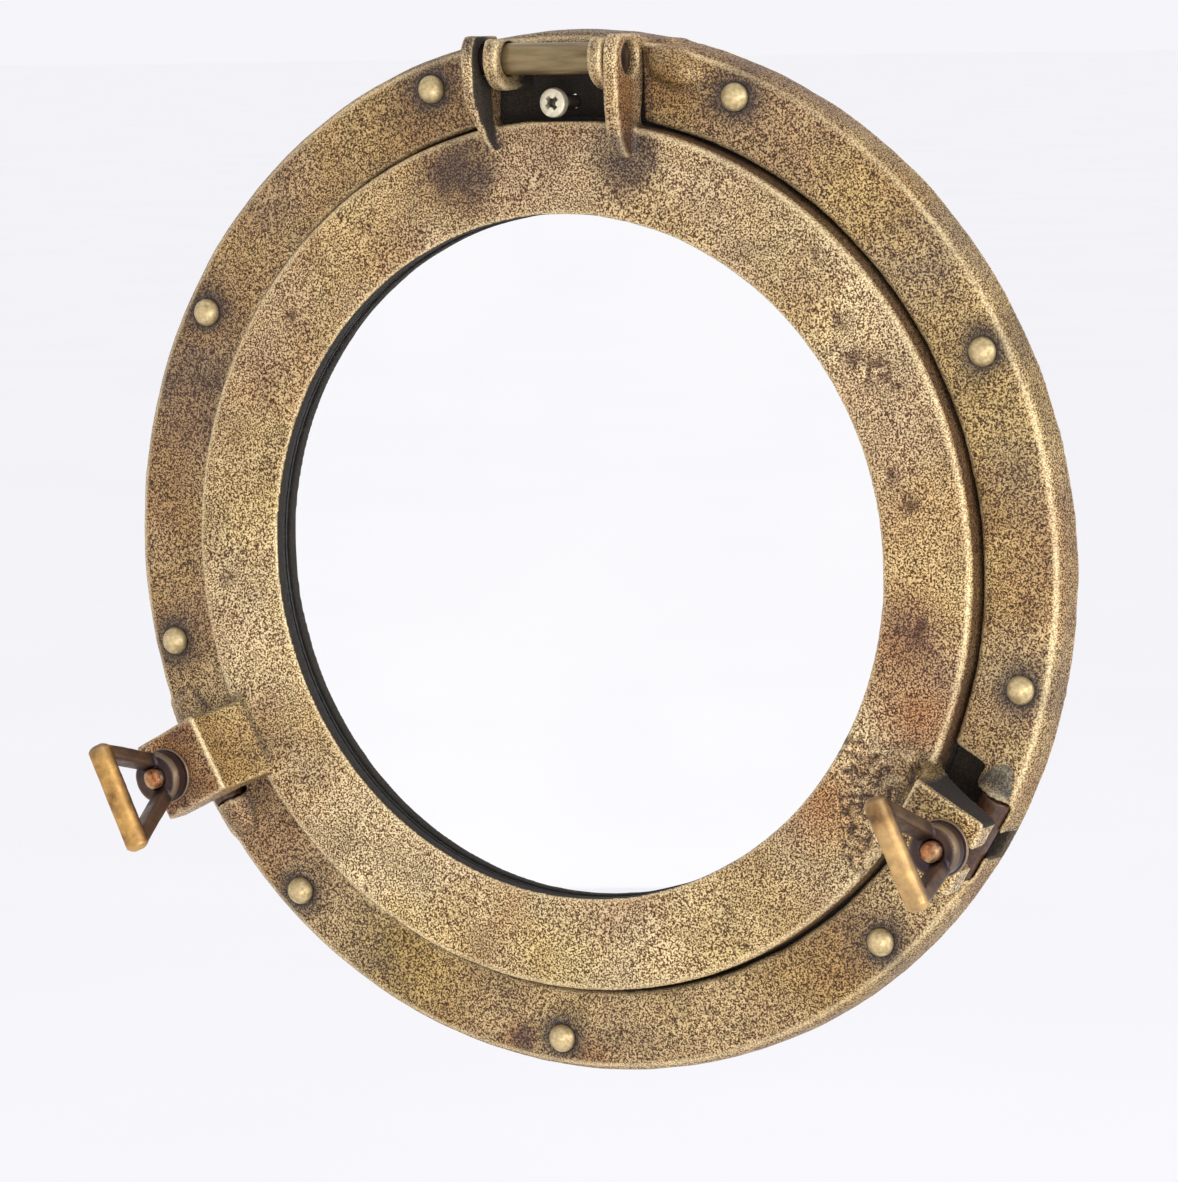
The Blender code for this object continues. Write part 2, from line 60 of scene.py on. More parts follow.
# A plate drawn in a frame's yz plane: its outline's x is the frame's y, and its y the z.
STANDING = Matrix(((0, 0, 1, 0), (1, 0, 0, 0), (0, 1, 0, 0), (0, 0, 0, 1)))
JOINTS = {joint["name"]: joint for joint in frame["joints"]}

# Driving dimensions, from the frame where it holds them
FLANGE_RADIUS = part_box("mounting_flange")[1].x
FLANGE_HEIGHT = 12 * MM
FLANGE_BORE = 108 * MM
LEDGE_HEIGHT = 4 * MM
WEB = 3.5 * MM
DOOR_RADIUS = 126.8 * MM
DOOR_FACE = 17.5 * MM
DOOR_BACK = -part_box("door_ring")[1].y
OPENING_RADIUS = 99.6 * MM
GLASS_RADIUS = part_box("mirror_glass")[1].x
GLASS_FRONT = -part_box("mirror_glass")[0].y
GLASS_BACK = -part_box("mirror_glass")[1].y
GASKET_SPACE, BOARD_SPACE = 1.5 * MM, 1.7 * MM
GAP = 0.3 * MM
CLEAR = 30 * MM            # a height above every face that a pocket is cut into
CASTING_TRIANGLES = 190000

# Hinge
PIN_LOW, PIN_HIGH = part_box("hinge_pin")
HINGE_X = JOINTS["door_hinge"]["pos_m"][0]
PIN_Y = JOINTS["door_hinge"]["pos_m"][2]
PIN_HEIGHT = -JOINTS["door_hinge"]["pos_m"][1]
PIN_LINE = Matrix.Translation((HINGE_X, PIN_Y, PIN_HEIGHT))
PIN_RADIUS = (PIN_HIGH.z - PIN_LOW.z) / 2
BORE_RADIUS = PIN_RADIUS + 0.4 * MM
EYE_RADIUS = 9 * MM
EAR_INNER, EAR_OUTER = 14.6 * MM, 19.2 * MM
EAR_LIMIT, LUG_LIMIT = 150.4 * MM, 151.2 * MM
LUG_SPANS = {"left": (-26.8 * MM, -22.4 * MM), "right": (19.7 * MM, 24.4 * MM)}
LUG_TIP_LEANS = {"left": 3.9 * MM, "right": 0.0}
LUG_TIP_THINNING = {"left": 0.6, "right": 0.0}
LUG_NOSE_POWERS = {"left": 0.85, "right": 0.25}
POCKET_LEFT, POCKET_RIGHT = HINGE_X - 28 * MM, HINGE_X + 25.2 * MM

# Dogs
SIDES = ("left", "right")
DOG_ANGLES = {"left": -152.5, "right": -30.9}
DOG_TILTS = {"left": 2.0, "right": 0.0}
NUT_TURNS = {"left": -3.7, "right": 55.0}
NUT_LEANS = {"left": -2.5 * MM, "right": -2.7 * MM}
DOG_RADIUS = 145.3 * MM
PIVOT_HEIGHT = -JOINTS["left_dog_swing"]["pos_m"][1]
PIVOT_BORE, PIVOT_REACH = 2.5 * MM, 17.5 * MM
SEAT = 24 * MM
STUD_RADIUS = 3 * MM
STUD_TOP = 33.5 * MM
THREAD_PITCH = 1 * MM
BARREL_RADIUS, BARREL_HALF, BARREL_BORE = 4.6 * MM, 12.5 * MM, 2.55 * MM
KNUCKLE_RADIUS, KNUCKLE_END = 6 * MM, 22.5 * MM
FORK_HALF, FORK_END = 12 * MM, 7.5 * MM
SLOT_HALF = 3.75 * MM
WASHER_RADIUS, WASHER_THICKNESS = 8.2 * MM, 1.1 * MM
HUB_RADIUS, HUB_HEIGHT = 7.6 * MM, 5.5 * MM
BAR_HEIGHT, BAR_HALF = 51.5 * MM, 16.8 * MM
BAR_THICKNESS, BAR_DEPTH = 5 * MM, 6.6 * MM

RIVETS = [name for name in frame["nodes"] if name.startswith("rivet_")]
RIVET_RADIUS = 4.15 * MM
SCREW_HEAD = 2.6 * MM

# Round patches on the castings: each one's angle, radius in mm, size in mm and strength
FLAWS = ((-33.8, 117.5, 12, 1), (-31, 109, 10.5, 1), (-27.5, 119, 9.75, 1), (-38.5, 114, 10.5, 1),
         (-41, 122, 9, 1), (-30, 103, 6, 1))
PITS = ((47.6, 116.9, 6.8, 1), (38.6, 112.4, 5.78, 1), (35.2, 107.2, 5.1, 1), (29.8, 112.3, 8.5, 1),
        (27, 115, 6.8, 1), (33, 109, 5.1, 1), (143.6, 115, 5.1, 1), (-175.5, 118.1, 4.42, 1),
        (-8, 112, 6.8, 1), (15, 106, 5.1, 1), (10, 110, 5.1, 1))
# Painted shadows on the door's face at the hinge lugs' feet
LUG_FOOT_SHADOWS = ((106.5, 117, 15, 0.5), (80, 117, 15, 0.4))
# The first two patches, at the hinge lugs' feet, are painted shadows; the rest are stains.
DOOR_STAINS_AND_SHADOWS = ((106.5, 117, 17, 2.0), (80, 117, 18, 1.8), (99.6, 151, 10, 1.4), (100.5, 139, 8, 0.7),
               (-31, 128, 28, 0.7), (112, 112, 16, 0.5), (-10, 110, 18, 0.75), (-14, 122, 12, 0.5),
               (88, 124, 12, 0.35), (-150, 122, 12, 0.6), (94, 112, 44, 0.3), (62, 112, 40, 0.28))
DOOR_RUST = ((-12, 108, 28, 0.85), (-20, 116, 20, 0.85), (-40, 104, 20, 0.85))
DOOR_OLIVE = ((-93, 118, 24, 0.6), (170, 116, 40, 0.4), (-60, 118, 30, 0.5))
FLANGE_STAINS = ((-99, 144.5, 4.5, 2.2), (-98.8, 148, 4.5, 2.2), (-100.4, 147, 4, 1.8),
                 (90, 140, 40, 0.6), (-152.5, 138, 36, 0.6), (-30.9, 140, 30, 0.5), (159, 140, 34, 0.9),
                 (-120, 143, 24, 0.5), (38, 140, 26, 0.5), (12, 142, 24, 0.35), (-86, 144, 20, 0.4),
                 (108, 148, 30, 0.6), (135, 148, 22, 0.4))
FLANGE_RUST = ((-99.4, 146, 10, 0.8), (-90, 148, 11, 0.7), (80, 152, 10, 0.5), (-24, 153, 12, 0.4),
               (-36, 153, 12, 0.5), (76, 141, 16, 0.3))
FLANGE_OLIVE = ((-118, 136, 24, 1.0), (76, 141, 18, 0.9), (20, 140, 40, 0.6), (-55, 140, 30, 0.3))

# How strong a mark is on each side's parts
SEAT_RUST = {"left": 0.85, "right": 0.35}
# How dark the painted shade on each hinge lug's right-hand cheek is
CHEEK_SHADE = {"left": 0.97, "right": 0.15}
TARNISHED_ENDS = {"left": 1, "right": -1}
BAR_SHINES = {"left": 0.05, "right": 0.4}


# ---- mesh helpers

def mm(*lengths):
    """Lengths in millimetres, in metres."""
    return tuple(length * MM for length in lengths)


def turned(angle, axis):
    """A turn by an angle in degrees."""
    return Matrix.Rotation(math.radians(angle), 4, axis)


def polar(angle, radius=0.0, height=0.0):
    """A frame on the ring: x runs clockwise along the ring, y outward and z out of the wall."""
    turn = turned(angle - 90, "Z")
    return turn @ Matrix.Translation((0, radius, height))


def dog_place(side):
    """The frame of one dog, at its pivot."""
    lean = turned(-DOG_TILTS[side], "X")
    return polar(DOG_ANGLES[side], DOG_RADIUS, PIVOT_HEIGHT) @ lean


def centre_of(name):
    """The middle of a node, in the wall plane."""
    low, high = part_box(name)
    return (low.x + high.x) / 2, (low.z + high.z) / 2


def over(name):
    """The wall's frame, moved to the middle of a node."""
    return Matrix.Translation((*centre_of(name), 0))


def arc(centre, radius, start, end, count):
    """Points along an arc, with both ends; the angles are in degrees."""
    angles = [math.radians(start + (end - start) * i / count) for i in range(count + 1)]
    return [(centre[0] + radius * math.cos(a), centre[1] + radius * math.sin(a)) for a in angles]


def filleted(corners, count=4):
    """A closed outline from corners (x, y, fillet radius), with each corner rounded."""
    points = []
    for i, (x, y, radius) in enumerate(corners):
        here = Vector((x, y))
        before = Vector(corners[i - 1][:2]) - here
        after = Vector(corners[(i + 1) % len(corners)][:2]) - here
        reach = min(radius, 0.45 * before.length, 0.45 * after.length)
        if reach <= 0:
            points.append((x, y))
            continue
        start, end = here + before.normalized() * reach, here + after.normalized() * reach
        for step in range(count + 1):
            t = step / count
            point = start * (1 - t) ** 2 + here * (2 * t * (1 - t)) + end * t ** 2
            points.append(tuple(point))
    return points


def spin(profile, steps, solid=False):
    """A turned mesh from a profile of (radius, height): a closed loop, or open at the axis."""
    mesh = bmesh.new()
    rings = []
    for i in range(steps):
        c, s = math.cos(math.tau * i / steps), math.sin(math.tau * i / steps)
        rings.append([mesh.verts.new((r * c, r * s, h)) for r, h in profile])
    count = len(profile)
    for i in range(steps):
        one, two = rings[i], rings[(i + 1) % steps]
        for j in range(count - 1 if solid else count):
            k = (j + 1) % count
            mesh.faces.new((one[j], one[k], two[k], two[j]))
    bmesh.ops.remove_doubles(mesh, verts=mesh.verts, dist=1e-7)
    bmesh.ops.recalc_face_normals(mesh, faces=mesh.faces)
    return mesh


def prism(outline, low, high, place=None):
    """An outline in a plane's xy, extruded from low to high along its z."""
    mesh = bmesh.new()
    bottom = [mesh.verts.new((x, y, low)) for x, y in outline]
    top = [mesh.verts.new((x, y, high)) for x, y in outline]
    mesh.faces.new(reversed(bottom))
    mesh.faces.new(top)
    for i in range(len(outline)):
        j = (i + 1) % len(outline)
        mesh.faces.new((bottom[i], bottom[j], top[j], top[i]))
    bmesh.ops.recalc_face_normals(mesh, faces=mesh.faces)
    if place:
        mesh.transform(place)
    return mesh


def rod(radius, low, high, place=None, along_x=False, segments=48):
    """A cylinder about z, or about x."""
    mesh = prism(arc((0, 0), radius, 0, 360 - 360 / segments, segments - 1), low, high)
    if along_x:
        mesh.transform(ALONG_X)
    if place:
        mesh.transform(place)
    return mesh


def block(low, high, place=None):
    """A box between two corners."""
    outline = [(low[0], low[1]), (high[0], low[1]), (high[0], high[1]), (low[0], high[1])]
    return prism(outline, low[2], high[2], place)


def loose(mesh, name="loose"):
    """A bmesh as an object."""
    data = bpy.data.meshes.new(name)
    mesh.to_mesh(data)
    mesh.free()
    obj = bpy.data.objects.new(name, data)
    bpy.context.scene.collection.objects.link(obj)
    return obj


def applied(obj):
    """The object with its modifiers applied."""
    depsgraph = bpy.context.evaluated_depsgraph_get()
    data = bpy.data.meshes.new_from_object(obj.evaluated_get(depsgraph))
    obj.modifiers.clear()
    obj.data = data
    return obj


def cut(obj, *cutters):
    """The object with the cutters' space taken out, one at a time.

    Now and then faces that nearly line up make a cut lose the whole mesh; that cut is made again
    with its cutter nudged by a few hundredths of a millimetre.
    """
    for cutter in cutters:
        tool = loose(cutter, "cutter")
        before = obj.data.copy()
        for attempt in range(6):
            modifier = obj.modifiers.new("cut", "BOOLEAN")
            modifier.operation = "DIFFERENCE"
            modifier.solver = "EXACT"
            modifier.object = tool
            applied(obj)
            if len(obj.data.vertices) > 0.8 * len(before.vertices):
                break
            obj.data = before.copy()
            tool.data.transform(Matrix.Translation(mm(0.013, 0.017, 0.023)))
        bpy.data.objects.remove(tool)
    return obj


def joined(objects):
    """Overlapping closed shells as one mesh; casting() then fuses them."""
    shape = bmesh.new()
    for obj in objects:
        shape.from_mesh(obj.data)
        bpy.data.objects.remove(obj)
    return loose(shape, "shells")


def casting(obj, voxel, soften):
    """Shells fused into one skin with rounded edges and fillets, as a sand casting has."""
    remesh = obj.modifiers.new("fuse", "REMESH")
    remesh.mode = "VOXEL"
    remesh.voxel_size = voxel
    smooth = obj.modifiers.new("soften", "SMOOTH")
    smooth.factor = 0.5
    smooth.iterations = soften
    return applied(obj)


def vertex_data(obj):
    """Positions, normals and edges of a mesh, as arrays."""
    mesh = obj.data
    places = np.zeros(len(mesh.vertices) * 3)
    mesh.vertices.foreach_get("co", places)
    normals = np.zeros(len(mesh.vertices) * 3, np.float32)
    mesh.vertex_normals.foreach_get("vector", normals)
    edges = np.zeros(len(mesh.edges) * 2, np.int32)
    mesh.edges.foreach_get("vertices", edges)
    return places.reshape(-1, 3), normals.reshape(-1, 3).astype(float), edges.reshape(-1, 2)


def spread(values, edges, times):
    """Values averaged with their neighbours, a number of times."""
    count = np.bincount(edges.ravel(), minlength=len(values)) + 1.0
    for _ in range(times):
        total = values.copy()
        for column in (0, 1):
            total += np.bincount(edges[:, column], values[edges[:, 1 - column]], len(values))
        values = total / count
    return values


def convexity(places, normals, edges, reach):
    """How far each vertex stands out from its surroundings, in metres."""
    around = np.stack([spread(places[:, k].copy(), edges, reach) for k in range(3)], 1)
    return ((places - around) * normals).sum(1)


def paint(obj, name, values):
    """A float attribute on the vertices, which the materials read."""
    attribute = obj.data.attributes.new(name, "FLOAT", "POINT")
    attribute.data.foreach_set("value", np.clip(values, 0, 1).astype(np.float32))


def lattice(cells, seed):
    """A repeatable random value from -1 to 1 for each whole-number cell."""
    mixed = cells[:, 0] * 374761393 + cells[:, 1] * 668265263 + cells[:, 2] * 2147483647 + seed * 974634777
    mixed = (mixed ^ (mixed >> 13)) * 1274126177
    return ((mixed ^ (mixed >> 16)) & 65535) / 32767.5 - 1


def noise_at(places, size, seed):
    """Smooth noise from -1 to 1 at each place, with features of the given size."""
    grid = places / size + 1000
    cells = np.floor(grid).astype(np.int64)
    part = grid - cells
    part = part * part * (3 - 2 * part)
    total = np.zeros(len(places))
    for corner in range(8):
        step = np.array([corner & 1, corner >> 1 & 1, corner >> 2])
        share = np.prod(np.where(step, part, 1 - part), axis=1)
        total += share * lattice(cells + step, seed)
    return total


def mottled(places, size, seed, middle, swing, least, most):
    """Smooth noise of a size in mm that swings about a middle value, kept between two limits."""
    return np.clip(middle + swing * noise_at(places, size * MM, seed), least, most)


def rising(values, start, reach):
    """0 up to a start, rising to 1 over a reach."""
    return np.clip((values - start) / reach, 0, 1)


def from_axis(places):
    """The distance of each place from the z axis."""
    return np.hypot(places[:, 0], places[:, 1])


def near(places, centre, radius):
    """1 at a centre in the wall plane, falling softly to 0 at a radius."""
    away = np.hypot(places[:, 0] - centre[0], places[:, 1] - centre[1])
    share = np.clip(1 - away / radius, 0, 1)
    return share ** 2 * (3 - 2 * share)


def strongest(*layers):
    """The strongest of several layers of paint at each vertex."""
    return functools.reduce(np.maximum, layers)


def patches(places, spots):
    """Soft round patches, each from its angle, its radius and size in mm, and its strength."""
    layers = []
    for angle, radius, size, strength in spots:
        a = math.radians(angle)
        centre = (radius * MM * math.cos(a), radius * MM * math.sin(a))
        layers.append(strength * near(places, centre, size * MM))
    return strongest(*layers)


def round_rivets(places, size, strength):
    """Soft round patches of a size in mm, one about each rivet."""
    return strength * strongest(*(near(places, centre_of(name), size * MM) for name in RIVETS))


def in_frame(places, place):
    """The places in another frame's coordinates."""
    back = np.array(place.inverted())
    return places @ back[:3, :3].T + back[:3, 3]


def within(places, low, high, place=None):
    """1 for the vertices inside a box, which can lie in another frame."""
    local = in_frame(places, place) if place else places
    return np.all((local > np.array(low)) & (local < np.array(high)), axis=1).astype(float)


def along_line(distance, half_width):
    """1 on a line and 0 at a distance from it, fading softly."""
    return np.clip(1 - np.abs(distance) / half_width, 0, 1) ** 0.7


def lightened(obj):
    """The mesh with its flat stretches thinned out, if it has too many triangles."""
    triangles = sum(len(face.vertices) - 2 for face in obj.data.polygons)
    if triangles > CASTING_TRIANGLES:
        modifier = obj.modifiers.new("thin", "DECIMATE")
        modifier.ratio = CASTING_TRIANGLES / triangles
        applied(obj)
    return obj


def finish_piece(obj, name, body, finish, slot, *nodes):
    """Turn a piece upright, name it, shade it and let it ride in place of its CAD nodes."""
    obj.data.transform(WALL)
    obj.name = name
    obj.data.name = name
    obj.data.shade_smooth()
    obj.data.materials.clear()
    obj.data.materials.append(finish)
    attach(obj, body)
    if nodes:
        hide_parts(*nodes)
    return obj


# ---- materials

def colour(red, green, blue):
    """An sRGB colour of 0 to 255 as a linear RGBA."""
    linear = [((c / 255 + 0.055) / 1.055) ** 2.4 if c > 10 else c / 255 / 12.92
              for c in (red, green, blue)]
    return (*linear, 1)


class Nodes:
    """A small helper that adds nodes to one material."""

    def __init__(self, name, metallic, roughness=0.5):
        self.material = bpy.data.materials.new(name)
        self.material.use_nodes = True
        self.tree = self.material.node_tree
        self.shader = self.tree.nodes["Principled BSDF"]
        self.shader.inputs["Metallic"].default_value = metallic
        self.shader.inputs["Roughness"].default_value = roughness
        self.place = self.add("ShaderNodeTexCoord").outputs["Object"]

    def add(self, kind, **settings):
        node = self.tree.nodes.new(kind)
        for key, value in settings.items():
            setattr(node, key, value)
        return node

    def join(self, value, socket):
        """Feed a socket with a number, a colour or another node's output."""
        if isinstance(value, (tuple, float, int)):
            socket.default_value = value
        else:
            self.tree.links.new(value, socket)

    def feed(self, name, source):
        self.join(source, self.shader.inputs[name])

    def attribute(self, name):
        return self.add("ShaderNodeAttribute", attribute_name=name).outputs["Fac"]

    def noise(self, scale, detail=2.0, roughness=0.5, stretch=None, distortion=0.0):
        """Cloudy noise, stretched along the axes where asked."""
        node = self.add("ShaderNodeTexNoise")
        for key, value in (("Scale", scale), ("Detail", detail), ("Roughness", roughness),
                           ("Distortion", distortion)):
            node.inputs[key].default_value = value
        place = self.place
        if stretch:
            mapping = self.add("ShaderNodeMapping")
            mapping.inputs["Scale"].default_value = stretch
            self.join(place, mapping.inputs["Vector"])
            place = mapping.outputs["Vector"]
        self.join(place, node.inputs["Vector"])
        return node.outputs["Fac"]

    def ramp(self, source, *stops):
        """A colour ramp over stops of (position, grey value or colour)."""
        node = self.add("ShaderNodeValToRGB")
        elements = node.color_ramp.elements
        while len(elements) < len(stops):
            elements.new(0.5)
        for element, (position, value) in zip(elements, stops):
            element.position = position
            element.color = value if isinstance(value, tuple) else (value, value, value, 1)
        self.join(source, node.inputs["Fac"])
        return node.outputs["Color"]

    def mix(self, share, one, two, blend="MIX"):
        node = self.add("ShaderNodeMix", data_type="RGBA", blend_type=blend)
        for index, value in ((0, share), (6, one), (7, two)):
            self.join(value, node.inputs[index])
        return node.outputs[2]

    def tinted(self, share, source, tint):
        """A colour multiplied by a tint, by a share."""
        return self.mix(share, source, self.mix(1.0, source, tint, "MULTIPLY"))

    def math(self, operation, one, two):
        node = self.add("ShaderNodeMath", operation=operation)
        self.join(one, node.inputs[0])
        self.join(two, node.inputs[1])
        return node.outputs[0]

    def times(self, one, two):
        return self.math("MULTIPLY", one, two)

    def bump(self, height, strength, distance):
        node = self.add("ShaderNodeBump")
        node.inputs["Strength"].default_value = strength
        node.inputs["Distance"].default_value = distance
        self.join(height, node.inputs["Height"])
        self.feed("Normal", node.outputs["Normal"])


def cast_brass(name, light, middle, dark, stain_and_shadow, grain=1900.0):
    """Speckled sand-cast brass.  The vertices say where it has bright wear and painted highlights, grime
    and painted shade, and stains and painted shadows.
    """
    n = Nodes(name, 0.5)
    fine = n.noise(grain, 1.0)
    broad = n.noise(90, 3, 0.55)
    patina = n.noise(18, 3, 0.6, distortion=0.6)
    golden = n.noise(26)
    # Grime, and painted shade in pockets, gaps and on shaded faces, darken the base colour.
    dirt_and_shade = n.attribute("grime_and_shade")
    base = n.ramp(fine, (0.37, dark), (0.49, middle), (0.61, light))
    base = n.tinted(n.ramp(patina, (0.4, 0.0), (0.62, 0.6)), base, colour(200, 172, 168))
    base = n.tinted(n.ramp(golden, (0.45, 0.0), (0.65, 0.5)), base, colour(250, 240, 190))
    base = n.tinted(n.attribute("olive"), base, colour(240, 238, 204))
    base = n.mix(1.0, base, n.ramp(broad, (0.3, 0.72), (0.7, 1.0)), "MULTIPLY")
    base = n.tinted(n.times(n.attribute("rust"), 0.75), base, colour(206, 146, 84))
    # Stains, and painted shadows at the hinge lugs' feet and along the pocket's edge.
    base = n.mix(n.times(n.attribute("stain_and_shadow"), n.ramp(fine, (0.38, 0.95), (0.62, 0.6))), base, stain_and_shadow)
    slate = n.ramp(broad, (0.35, colour(34, 37, 38)), (0.65, colour(98, 106, 102)))
    base = n.mix(n.times(n.attribute("slate"), 0.85), base, slate)
    # Bright wear, and painted highlights along the forks' ridges.
    bright = n.times(n.attribute("wear_and_highlight"), n.ramp(fine, (0.38, 0.55), (0.55, 0.95)))
    base = n.mix(bright, base, colour(241, 217, 169))
    pitted = n.times(n.attribute("pit"), n.ramp(fine, (0.38, 0.98), (0.62, 0.7)))
    base = n.mix(pitted, base, colour(66, 36, 20))
    n.feed("Base Color", n.mix(n.times(dirt_and_shade, 0.98), base, colour(21, 15, 11)))
    n.feed("Metallic", n.ramp(dirt_and_shade, (0.1, 0.5), (0.9, 0.0)))
    n.feed("Roughness", n.math("MAXIMUM", n.ramp(fine, (0.3, 0.6), (0.7, 0.42)), n.times(dirt_and_shade, 0.9)))
    n.bump(fine, 0.6, 0.3 * MM)
    return n.material


def smooth_brass(name, light, dark, grain=260.0, stretch=None, roughness=(0.3, 0.45)):
    """Brass rubbed smooth, with faint cloudy tarnish."""
    n = Nodes(name, 0.7)
    cloud = n.noise(grain, 4, 0.6, stretch)
    # Grime, and painted shade at the rivets' feet.
    dirt_and_shade = n.attribute("grime_and_shade")
    base = n.ramp(cloud, (0.3, dark), (0.66, light))
    base = n.mix(n.times(dirt_and_shade, 0.95), base, colour(34, 24, 18))
    base = n.mix(n.attribute("stain_and_shadow"), base, colour(58, 44, 46))
    # Wear, and a painted highlight on the wing nuts' hub rims.
    base = n.mix(n.times(n.attribute("wear_and_highlight"), 0.7), base, colour(228, 200, 150))
    n.feed("Base Color", base)
    n.feed("Metallic", n.ramp(dirt_and_shade, (0.1, 0.7), (0.9, 0.05)))
    n.feed("Roughness", n.ramp(cloud, (0.3, roughness[1]), (0.7, roughness[0])))
    n.bump(n.noise(1400, 2, 0.5, stretch), 0.25, 0.08 * MM)
    return n.material


def cloudy(name, metallic, noise, dark, light, roughness, relief, grime_and_shade=None):
    """A material whose colour, roughness and relief all follow one noise.

    noise is its scale, detail, roughness and stretch.  roughness is that of the dark and the light
    parts, and relief the bump's strength and depth.  The last one is the colour of grime and painted
    shade.
    """
    n = Nodes(name, metallic)
    cloud = n.noise(*noise)
    base = n.ramp(cloud, (0.3, dark), (0.7, light))
    if grime_and_shade:
        # Grime, and painted shade in the screw's cross recess and down its shank.
        base = n.mix(n.attribute("grime_and_shade"), base, grime_and_shade)
    n.feed("Base Color", base)
    n.feed("Roughness", n.ramp(cloud, (0.3, roughness[0]), (0.7, roughness[1])))
    n.bump(cloud, *relief)
    return n.material


def mirror_silver():
    """Silvered glass, almost clean."""
    n = Nodes("mirror_silver", 1.0)
    n.feed("Base Color", n.ramp(n.noise(9, 3), (0.3, colour(236, 237, 237)), (0.7, colour(240, 240, 239))))
    n.feed("Roughness", n.ramp(n.noise(40, 4, 0.6), (0.4, 0.015), (0.75, 0.04)))
    return n.material


def pale_floor():
    """Matt white paper."""
    n = Nodes("pale_floor", 0.0, roughness=0.9)
    n.feed("Base Color", n.ramp(n.noise(3), (0.3, colour(251, 251, 251)), (0.7, colour(253, 253, 253))))
    return n.material


DOOR_BRASS = cast_brass("door_brass", colour(246, 224, 176), colour(172, 143, 99),
                        colour(78, 48, 24), colour(58, 36, 36))
FLANGE_BRASS = cast_brass("flange_brass", colour(222, 194, 142), colour(150, 122, 82),
                          colour(70, 44, 24), colour(56, 40, 42), grain=2050.0)
RIVET_BRASS = smooth_brass("rivet_brass", colour(206, 188, 142), colour(158, 134, 92), grain=900.0,
                           roughness=(0.4, 0.55))
PIN_BRASS = smooth_brass("pin_brass", colour(156, 137, 100), colour(106, 89, 61),
                         stretch=(0.15, 1, 1), roughness=(0.26, 0.4))
BAR_BRASS = smooth_brass("bar_brass", colour(200, 154, 84), colour(120, 80, 38), grain=240.0,
                         roughness=(0.36, 0.5))
DARK_BRONZE = smooth_brass("dark_bronze_patina", colour(96, 72, 70), colour(48, 36, 40),
                           grain=500, roughness=(0.32, 0.5))
BOLT_COPPER = smooth_brass("bolt_copper", colour(206, 136, 84), colour(92, 46, 30), grain=900)
ZINC = cloudy("zinc_plate", 0.5, (600, 3, 0.6), colour(184, 174, 148), colour(226, 216, 190),
              (0.4, 0.28), (0.2, 0.05 * MM), grime_and_shade=colour(48, 40, 28))
MIRROR = mirror_silver()
RUBBER = cloudy("black_rubber", 0.0, (900, 3, 0.6), colour(18, 18, 18), colour(38, 37, 36),
                (0.85, 0.65), (0.3, 0.1 * MM))
BOARD = cloudy("hardboard", 0.0, (500, 5, 0.7, (1, 1, 5)), colour(74, 50, 33), colour(122, 88, 60),
               (0.9, 0.7), (0.35, 0.15 * MM))


# ---- castings

def weather(obj, lumps, seed):
    """A casting's places, normals and sharpness, and the lumps that the sand mould gives it."""
    places, normals, edges = vertex_data(obj)
    sharpness = convexity(places, normals, edges, 6)
    bulge = lumps * (noise_at(places, 9 * MM, seed) + 0.6 * noise_at(places, 3.5 * MM, seed + 1))
    return places, normals, sharpness, bulge


def moved(obj, places, normals, bulge):
    """The places after each vertex has been pushed along its normal."""
    places = places + normals * bulge[:, None]
    obj.data.vertices.foreach_set("co", places.ravel())
    obj.data.update()
    return places


def worn(sharpness, places, seed):
    """Bright wear on outer edges, patchy along them."""
    return rising(sharpness, 0.10 * MM, 0.35 * MM) * mottled(places, 4, seed, 0.75, 0.5, 0.2, 1)


def darkened_corners(sharpness):
    """Dark colour in inner corners."""
    return rising(-sharpness, 0.06 * MM, 0.25 * MM)


def hinge_eye(start, end, limit):
    """An eye's outline round the hinge pin, flattened towards the flange's rim."""
    return [p for p in arc((PIN_Y, PIN_HEIGHT), EYE_RADIUS, start, end, 40) if p[0] < limit]


def pin_bore():
    """The cutter for a bore that the hinge pin goes through."""
    return rod(BORE_RADIUS, -40 * MM, 40 * MM, PIN_LINE, along_x=True)


def hinge_ears():
    """The two ears that hold the hinge pin."""
    outline = hinge_eye(180, 0, EAR_LIMIT)
    outline += [(PIN_Y + 5.5 * MM, 8 * MM), (PIN_Y + 5 * MM, 2 * MM), (PIN_Y - EYE_RADIUS, 2 * MM)]
    ears = []
    for sign in (-1, 1):
        low, high = sorted((sign * EAR_INNER + HINGE_X, sign * EAR_OUTER + HINGE_X))
        ears.append(cut(loose(prism(outline, low, high, STANDING)), pin_bore()))
    return ears


def dog_knuckles():
    """The knuckles that hold the dogs' pivot pins, rounded down at their outer ends."""
    middle = -1.4 * MM
    outline = arc((middle, 0), KNUCKLE_RADIUS, 180, 0, 24)
    outline += [(KNUCKLE_RADIUS - 2 * MM, -8.5 * MM), (-KNUCKLE_RADIUS - 3 * MM, -8.5 * MM)]
    knuckles = []
    for side in SIDES:
        place = polar(DOG_ANGLES[side], DOG_RADIUS, PIVOT_HEIGHT)
        for sign in (-1, 1):
            low, high = sorted((sign * (BARREL_HALF + 0.7 * MM), sign * KNUCKLE_END))
            knuckle = prism(outline, low, high)
            for vertex in knuckle.verts:
                if vertex.co.z * sign > (BARREL_HALF + KNUCKLE_END) / 2:
                    vertex.co.x = middle + 0.7 * (vertex.co.x - middle)
                    vertex.co.y = min(vertex.co.y, 0) + 0.45 * max(vertex.co.y, 0)
            knuckle.transform(place @ STANDING)
            bore = rod(PIVOT_BORE, -PIVOT_REACH, PIVOT_REACH, place, along_x=True)
            knuckles.append(cut(loose(knuckle), bore))
    return knuckles


